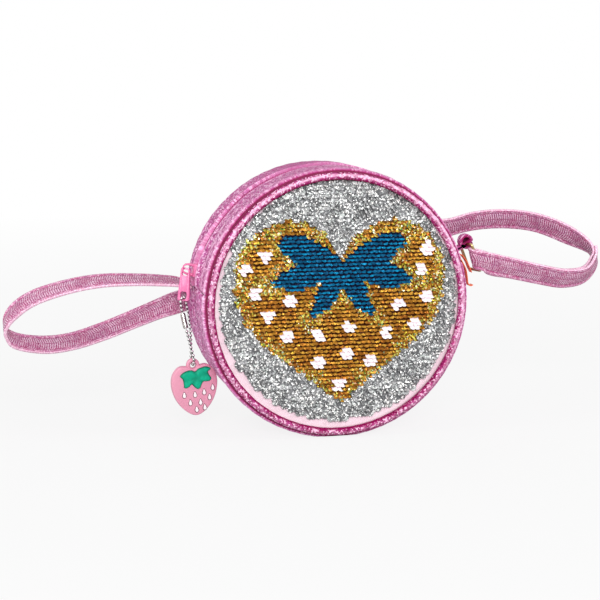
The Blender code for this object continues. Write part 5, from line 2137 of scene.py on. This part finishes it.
            for name, slot, grow, out in (("seed_rim", Slot.RIM, 0.42 * MM, 0.22 * MM),
                                          ("seed", Slot.SEED, -0.1 * MM, 0.55 * MM)):
                dresser.dress(self.seed(f"{name}_{number}", *spot, grow, half + out), slot, "charm")


@dataclass
class Strap:
    """One flat band from the left seam round both loops, through the ring and back."""

    width: float = 15.5 * MM
    wall: float = 2.2 * MM
    shift: float = 10.5
    layer_gap: float = 0.6 * MM
    layer_drop: float = 1.5 * MM
    ring_long: float = 18.4 * MM
    ring_short: float = 10.6 * MM
    ring_out: float = 11.4 * MM
    ring_up: float = 33.2 * MM
    ring_wire: float = 1.05 * MM
    ring_bend: float = 1.3 * MM
    fold_slack: float = 1.1 * MM
    tab_wall: float = 1.6 * MM
    tab_hole: tuple[float, float] = (5.8 * MM, 6.6 * MM)
    tag_width: float = 6.0 * MM
    back_depth: float = 40.8 * MM

    def left_loop(self) -> list[Row]:
        """Stations of the left loop, from the sewn end round to behind the drum.

        Returns:
            Its stations.
        """
        s = self.shift
        rows = [
            (0.5, s, 9.3, 0.0, 1.0, 0.05), (8.2, s, 11.9, 0.15, 0.93, 0.2), (21.0, s, 13.4, 0.15, 0.93, 0.28),
            (36.0, s + 0.5, 14.3, 0.15, 0.92, 0.32), (58.5, s + 2, 14.2, 0.12, 0.9, 0.4),
            (79.5, s + 4, 11.0, 0.05, 0.88, 0.45), (104.2, s + 8, 2.9, -0.12, 0.87, 0.46),
            (116.2, s + 11, -5.8, -0.25, 0.9, 0.35), (121.5, s + 13, -13.5, -0.15, 0.98, 0.1),
            (121.9, s + 15, -19.8, 0.12, 0.97, -0.1), (117.0, s + 17.5, -25.8, 0.35, 0.85, 0.3),
            (97.2, s + 20.5, -30.6, 0.15, 0.8, 0.6), (78.4, s + 23, -29.7, 0.0, 0.8, 0.6),
            (56.4, s + 26, -24.2, -0.1, 0.78, 0.62), (32.2, s + 29, -16.0, -0.1, 0.74, 0.66),
            (15.0, s + 31, -10.2, -0.1, 0.6, 0.78),
        ]
        return [(-(DRUM.radius + out * MM), deep * MM, DRUM.axis_height + up * MM, *edge, 1.0)
                for out, deep, up, *edge in rows]

    def right_side(self, rows: Sequence[Row]) -> list[Row]:
        """Turn rows about the drum's right side into rows in the row frame."""
        return [(DRUM.radius + out * MM, deep * MM, DRUM.axis_height + up * MM, *rest)
                for out, deep, up, *rest in rows]

    def back_run(self) -> list[Row]:
        """Stations where the strap lies flat behind the drum.

        Returns:
            Its stations.
        """
        ends = [(-1.0, -5.5), (-0.62, 1.5), (-0.2, 9.5), (0.25, 20.5), (0.66, 31.5), (0.92, 37.0)]
        return [(DRUM.radius * share, self.back_depth, DRUM.axis_height + up * MM, -0.22, 0.0, 0.97, 1.0)
                for share, up in ends]

    def right_loop(self) -> list[Row]:
        """Stations of the right loop from behind the drum to the far bend.

        Returns:
            Its stations.
        """
        return self.right_side([
            (11.0, 40.5, 40.0, -0.42, -0.45, 0.8, 1.0), (29.4, 37.0, 44.6, -0.3, -0.4, 0.87, 1.0),
            (51.0, 33.0, 45.8, -0.1, -0.4, 0.9, 1.0), (71.8, 28.5, 43.1, 0.1, -0.5, 0.85, 1.0),
            (91.5, 22.5, 35.4, 0.28, -0.6, 0.74, 1.0)])

    def front_leg(self) -> list[Row]:
        """Stations of the outer layer, from the ring to its sewn end on the far bend.

        Returns:
            Its stations.
        """
        return self.right_side([
            (27.0, -7.4, 19.4, 0.02, -0.25, 0.96, 0.6), (42.0, -6.3, 15.8, 0.12, -0.36, 0.92, 1.0),
            (62.0, -4.2, 10.8, 0.05, -0.45, 0.9, 1.0), (84.0, 0.0, 6.5, -0.15, -0.5, 0.85, 1.0),
            (101.5, 5.6, 8.4, -0.3, -0.65, 0.68, 1.0), (110.5, 10.6, 17.8, -0.4, -0.75, 0.53, 1.0),
            (110.0, 13.6, 26.0, -0.2, -0.78, 0.5, 1.0)])

    def layer_behind(self, rows: Sequence[Row]) -> list[Row]:
        """Lay a second layer behind the outer one, in the other direction.

        Args:
            rows: Stations of the outer layer.

        Returns:
            Stations of the layer behind it.
        """
        layer = []
        for number, row in enumerate(rows):
            ahead = Vector(rows[min(number + 1, len(rows) - 1)][:3])
            behind = Vector(rows[max(number - 1, 0)][:3])
            edge = Vector(row[3:6]).normalized()
            inward = edge.cross(ahead - behind).normalized()
            place = Vector(row[:3]) + inward * (self.wall + self.layer_gap) - edge * self.layer_drop
            layer.append((*place, *row[3:]))
        return list(reversed(layer))

    def ring_corners(self) -> list[Vector]:
        """Corners of the ring: near top, far top, far bottom and near bottom.

        Returns:
            The four corners.
        """
        bar = Vector((0.40, 0.154, -0.91)).normalized() * (self.ring_long + 2 * self.ring_wire)
        cross = Vector((-0.36, 0.933, 0.0)).normalized() * (self.ring_short + 2 * self.ring_wire)
        top = Vector((DRUM.radius + self.ring_out, -self.ring_short / 2 - 0.9 * MM,
                      DRUM.axis_height + self.ring_up))
        return [top, top + cross, top + cross + bar, top + bar]

    def ring_fold(self) -> list[Row]:
        """Stations where the strap folds round the ring's near bar.

        Returns:
            Its stations, from behind the bar to the front of it.
        """
        near_top, _, _, near_low = self.ring_corners()
        upward = Vector((-0.31, -0.154, 0.94)).normalized()
        away = Vector((0.965, 0.0, -0.26)).normalized()
        back = upward.cross(away).normalized()
        middle = (near_top + near_low) / 2 - away * self.fold_slack - upward * self.fold_slack
        reach = self.ring_wire + 0.3 * MM + self.wall / 2
        ends = [middle + back * sign * reach + away * 4.0 * MM for sign in (1, -1)]
        places = [ends[0], *half_turn(middle, back, -away, reach), ends[1]]
        return [(*place, *upward, 0.0) for place in places]

    def band(self, name: str, rows: Sequence[Sequence[float]], width: float, section: Sequence[Row]) -> Piece:
        """Lay a flat band of one section along its stations.

        Args:
            name: Name of the piece.
            rows: Place, upper edge and squareness at each station.
            width: Width of the band.
            section: Share across and height of each corner of one side, from the upper edge to the lower.

        Returns:
            The piece, marked with its run in millimetres and its share across.
        """
        spots = [Vector(row[:3]) for row in rows]
        around = [*section, *[(across, -high) for across, high in reversed(section)]]
        points, run, across_marks, reach = [], [], [], 0.0
        for number, row in enumerate(rows):
            ahead, behind = spots[min(number + 1, len(spots) - 1)], spots[max(number - 1, 0)]
            if number:
                reach += (spots[number] - spots[number - 1]).length / MM
            way = (ahead - behind).normalized()
            edge = Vector(row[3:6]).normalized()
            side = (edge - way * edge.dot(way) * row[6]).normalized()
            flat = way.cross(side).normalized()
            for across, high in around:
                points.append(tuple(spots[number] + side * (across * width / 2) + flat * high))
                run.append(reach)
                across_marks.append(across)
        count, last = len(around), (len(rows) - 1) * len(around)
        faces = [(ring + corner, ring + (corner + 1) % count, ring + count + (corner + 1) % count,
                  ring + count + corner) for ring in range(0, last, count) for corner in range(count)]
        caps = [tuple(range(count)), tuple(reversed(range(last, last + count)))]
        piece = Bench.mesh(name, points, faces + caps)
        Bench.mark_run(piece, np.array(run) * MM, np.array(across_marks) * width / 2)
        Bench.mark(piece, "across", across_marks)
        with Bench.editing(piece):
            bpy.ops.mesh.normals_make_consistent(inside=False)
        Bench.smooth(piece, 60.0)
        return piece

    def strap(self) -> Piece:
        """Sew the strap: rounded margins, a sunken channel each side, and the stitched middle.

        Returns:
            The piece.
        """
        leg, thick = self.front_leg(), self.wall / 2
        rows = [*self.left_loop(), *self.back_run(), *self.right_loop(), *self.layer_behind(leg),
                *self.ring_fold(), *leg]
        half = [(1.0, 0.25), (0.985, 0.62), (0.95, 0.86), (0.88, 0.98), (0.78, 0.98), (0.69, 0.8),
                (0.64, 0.66), (0.59, 0.74), (0.45, 0.9), (0.22, 0.97)]
        shares = [*half, (0.0, 1.0), *[(-across, high) for across, high in reversed(half)]]
        section = [(across, high * thick) for across, high in shares]
        return self.band("strap", smooth_curve(rows, 9), self.width, section)

    def ring(self) -> Piece:
        """Bend the ring from wire.

        Returns:
            The piece.
        """
        corners, points = self.ring_corners(), []
        for number, corner in enumerate(corners):
            before = (corners[number - 1] - corner).normalized() * self.ring_bend
            after = (corners[(number + 1) % 4] - corner).normalized() * self.ring_bend
            for turn in [math.radians(15 * step) for step in range(7)]:
                points.append(corner + before * (1 - math.sin(turn)) + after * (1 - math.cos(turn)))
        return Bench.tube("wire_ring", points, self.ring_wire, closed=True, sides=5)

    def tab(self) -> tuple[Piece, Piece]:
        """Roll the tab into a loop round the ring's top bar and draw it back to the end seam.

        Returns:
            The loop, and a dark sheet inside it that stands for painted shade.
        """
        near_top, far_top, _, _ = self.ring_corners()
        lean = (far_top.x - near_top.x) / (far_top.y - near_top.y)
        low = near_top.y + self.ring_wire + self.wall + 0.9 * MM
        high = far_top.y - self.ring_wire - 0.6 * MM
        bar = near_top.x + ((low + high) / 2 - near_top.y) * lean + 0.6 * MM
        wide, tall = self.tab_hole[0] / 2, self.tab_hole[1] / 2
        centre = Vector((bar, low, near_top.z - self.ring_wire - 0.6 * MM + tall))
        root = DRUM.at(DRUM.right_seam, DRUM.radius + 0.3 * MM, low)
        turn = math.radians(DRUM.right_seam)
        reach = self.tab_wall / 2
        seam = Vector((-math.sin(turn), 0.0, math.cos(turn))) * reach * 0.6
        angles = [math.radians(180.0 - 15.0 * step) for step in range(-11, 12)]
        bend = [centre + Vector((math.cos(angle) * (wide + reach), 0.0, -math.sin(angle) * (tall + reach)))
                for angle in angles]
        loop = self.rolled("tab_loop", [root + seam, *bend, root - seam], high - low)
        places = Bench.places(loop)
        hole = np.hypot((places[:, 0] - centre.x) / wide, (places[:, 2] - centre.z) / tall) / 2
        # painted shade on the inside of the loop
        Bench.mark(loop, "groove", 1.0 - fade(hole, 0.5, 0.56))
        deep = high - low - 0.9 * MM
        rim = [centre + Vector((math.cos(turn) * wide, deep, math.sin(turn) * tall))
               for turn in np.linspace(0, 2 * math.pi, 25)[:-1]]
        # a dark sheet across the loop's far end, standing for painted shade
        shade_sheet = Bench.chain("tab_shade_sheet", rim, filled=True)
        Bench.raise_face(shade_sheet, AXIS * 0.6 * MM)
        Bench.face_out(shade_sheet)
        return loop, shade_sheet

    def rolled(self, name: str, line: Sequence[Vector], depth: float) -> Piece:
        """Extrude a line along the drum's axis and give it the tab's thickness.

        Args:
            name: Name of the piece.
            line: Places along the line.
            depth: Length of the extrusion.

        Returns:
            The piece.
        """
        piece = Bench.chain(name, [Vector(row) for row in smooth_curve([tuple(point) for point in line], 3)])
        with Bench.editing(piece):
            bpy.ops.mesh.extrude_region_move(TRANSFORM_OT_translate={"value": (0.0, depth, 0.0)})
        Bench.modify(piece, "SOLIDIFY", thickness=self.tab_wall * 1.3, offset=0.0)
        Bench.round_edges(piece, 0.35 * MM, 3, 60.0)
        Bench.face_out(piece)
        Bench.smooth(piece)
        places = Bench.places(piece)
        Bench.mark_run(piece, places[:, 2] - places[:, 0], places[:, 1])
        return piece

    def tag(self) -> Piece:
        """Fold the plain ribbon over the right end seam.

        Returns:
            The piece.
        """
        leaves = [(6.5, 17.1), (5.6, 21.0), (4.6, 25.0), (3.0, 28.6), (1.5, 29.6), (0.8, 27.5), (1.6, 24.0),
                  (2.8, 19.5), (2.9, 14.0), (3.0, 9.6), (4.4, 8.0), (6.3, 8.6)]
        deep = -DRUM.half_depth + DRUM.edge_round + self.tag_width
        rows = [(math.sqrt(DRUM.radius ** 2 - (up * MM) ** 2) + out * MM, deep, DRUM.axis_height + up * MM,
                 0.0, 1.0, 0.0, 1.0) for out, up in leaves]
        half = [(1.0, 0.12 * MM), (0.92, 0.25 * MM), (0.5, 0.22 * MM)]
        section = [*half, (0.0, 0.24 * MM), *[(-across, high) for across, high in reversed(half)]]
        return self.band("ribbon", smooth_curve(rows, 6), self.tag_width, section)

    def build(self, dresser: Dresser) -> None:
        """Build strap, ring, tab and ribbon.

        Args:
            dresser: Dresser of the pieces.
        """
        dresser.dress(self.strap(), Slot.STITCHED, stands_for=["shoulder_strap"])
        dresser.dress(self.ring(), Slot.RING, stands_for=["strap_ring"])
        loop, shade_sheet = self.tab()
        dresser.dress(loop, Slot.GLITTER_BACK, stands_for=["strap_tab"])
        dresser.dress(shade_sheet, Slot.SHADE)
        dresser.dress(self.tag(), Slot.RIBBON, stands_for=["ribbon_tag"])


@dataclass
class Studio:
    """Camera at the photograph's angle, pale floor and soft light."""

    azimuth: float = -13.2
    elevation: float = 9.22
    distance: float = 1.049
    lens: float = 93.2
    shift_right: float = 17.0 * MM
    shift_up: float = 2.24 * MM
    ambient: float = 0.55

    def camera(self) -> None:
        """Place the camera."""
        side, rise = math.radians(self.azimuth), math.radians(self.elevation)
        back = Vector((math.sin(side) * math.cos(rise), -math.cos(side) * math.cos(rise), math.sin(rise)))
        right = (-back).cross(UPWARD).normalized()
        up = right.cross(-back)
        data = bpy.data.cameras.new("photo_camera")
        data.lens = self.lens
        data.sensor_width = 36.0
        data.clip_start = 0.01
        camera = Bench.link("photo_camera", data)
        place = DRUM.centre + back * self.distance - right * self.shift_right - up * self.shift_up
        camera.matrix_world = Matrix.Translation(place) @ Matrix((right, up, back)).transposed().to_4x4()
        bpy.context.scene.camera = camera

    def lamp(self, name: str, place: Vector, size: Span, power: float) -> None:
        """Hang one soft lamp that looks at the bag.

        Args:
            name: Name of the lamp.
            place: Its place.
            size: Its width and height.
            power: Its power in watts.
        """
        data = bpy.data.lights.new(name, "AREA")
        data.shape = "RECTANGLE"
        data.size, data.size_y = size
        data.energy = power
        lamp = Bench.link(name, data)
        lamp.location = place
        lamp.rotation_euler = (DRUM.centre - place).to_track_quat("-Z", "Y").to_euler()

    def floor(self) -> None:
        """Lay the pale floor, which keeps the bag's shadow and turns white far out."""
        Bench.clear()
        bpy.ops.mesh.primitive_plane_add(size=12.0, location=(0.0, 0.0, -0.05 * MM))
        floor = Bench.settle("floor")
        paint = Paint.material("floor_paper")
        paint.finish(Base_Color=tone(205, 205, 205), Roughness=0.9)
        glow = paint.read("ShaderNodeEmission", 0, None, {"Color": tone(255, 255, 255), "Strength": 1.0})
        seen = paint.read("ShaderNodeLightPath", "Is Camera Ray")
        reach = paint.read("ShaderNodeVectorMath", "Value", {"operation": "LENGTH"}, {0: paint.place()})
        share = seen * (paint.between(reach, 0.3, 1.4) * 0.15 + 0.85)
        paper = paint.mix_shaders(Reading(paint, paint.shader.outputs[0]), glow, share)
        paint.feed(paint.tree.nodes["Material Output"].inputs["Surface"], paper)
        floor.data.materials.append(paint.holder)

    def world(self) -> None:
        """Make the world white to the camera and in mirrors, and a softer light elsewhere."""
        paint = Paint(bpy.data.worlds.new("studio"))
        bpy.context.scene.world = paint.holder
        paint.tree.nodes.clear()
        rays = paint.node("ShaderNodeLightPath")
        seen, glossy, through = (Reading(paint, rays.outputs[f"Is {kind} Ray"])
                                 for kind in ("Camera", "Glossy", "Transmission"))
        share = paint.maths("MAXIMUM", paint.maths("MAXIMUM", seen, glossy), through)
        white = (1.0, 1.0, 1.0, 1.0)
        soft, bright = (paint.read("ShaderNodeBackground", 0, None, {"Color": white, "Strength": strength})
                        for strength in (self.ambient, 1.0))
        paint.node("ShaderNodeOutputWorld", None, {"Surface": paint.mix_shaders(soft, bright, share)})

    def build(self) -> None:
        """Set up the whole studio."""
        scene = bpy.context.scene
        scene.view_settings.view_transform = "Standard"
        self.camera()
        self.floor()
        self.world()
        self.lamp("key", Vector((-0.35, -1.55, 0.75)), (0.7, 0.5), 18.0)
        self.lamp("side", Vector((-1.5, -0.2, 0.5)), (0.4, 0.8), 7.0)
        self.lamp("right", Vector((1.3, -0.8, 0.9)), (0.6, 0.6), 9.5)


def main() -> None:
    """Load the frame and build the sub-assemblies in order."""
    logging.basicConfig(level=logging.INFO, format="%(name)s: %(message)s")
    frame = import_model()
    studio = Studio()
    studio.build()
    dresser = Dresser(frame, Palette())
    Strap().build(dresser)
    BagShell().build(dresser)
    SequinFace().build(dresser)
    ZipTrack().build(dresser)
    chain = PullAndChain(frame["nodes"])
    charm = StrawberryCharm(chain.charm_bore())
    _, _, face = charm.axes()
    chain.build(dresser, face)
    charm.build(dresser)


if __name__ == "__main__":
    main()
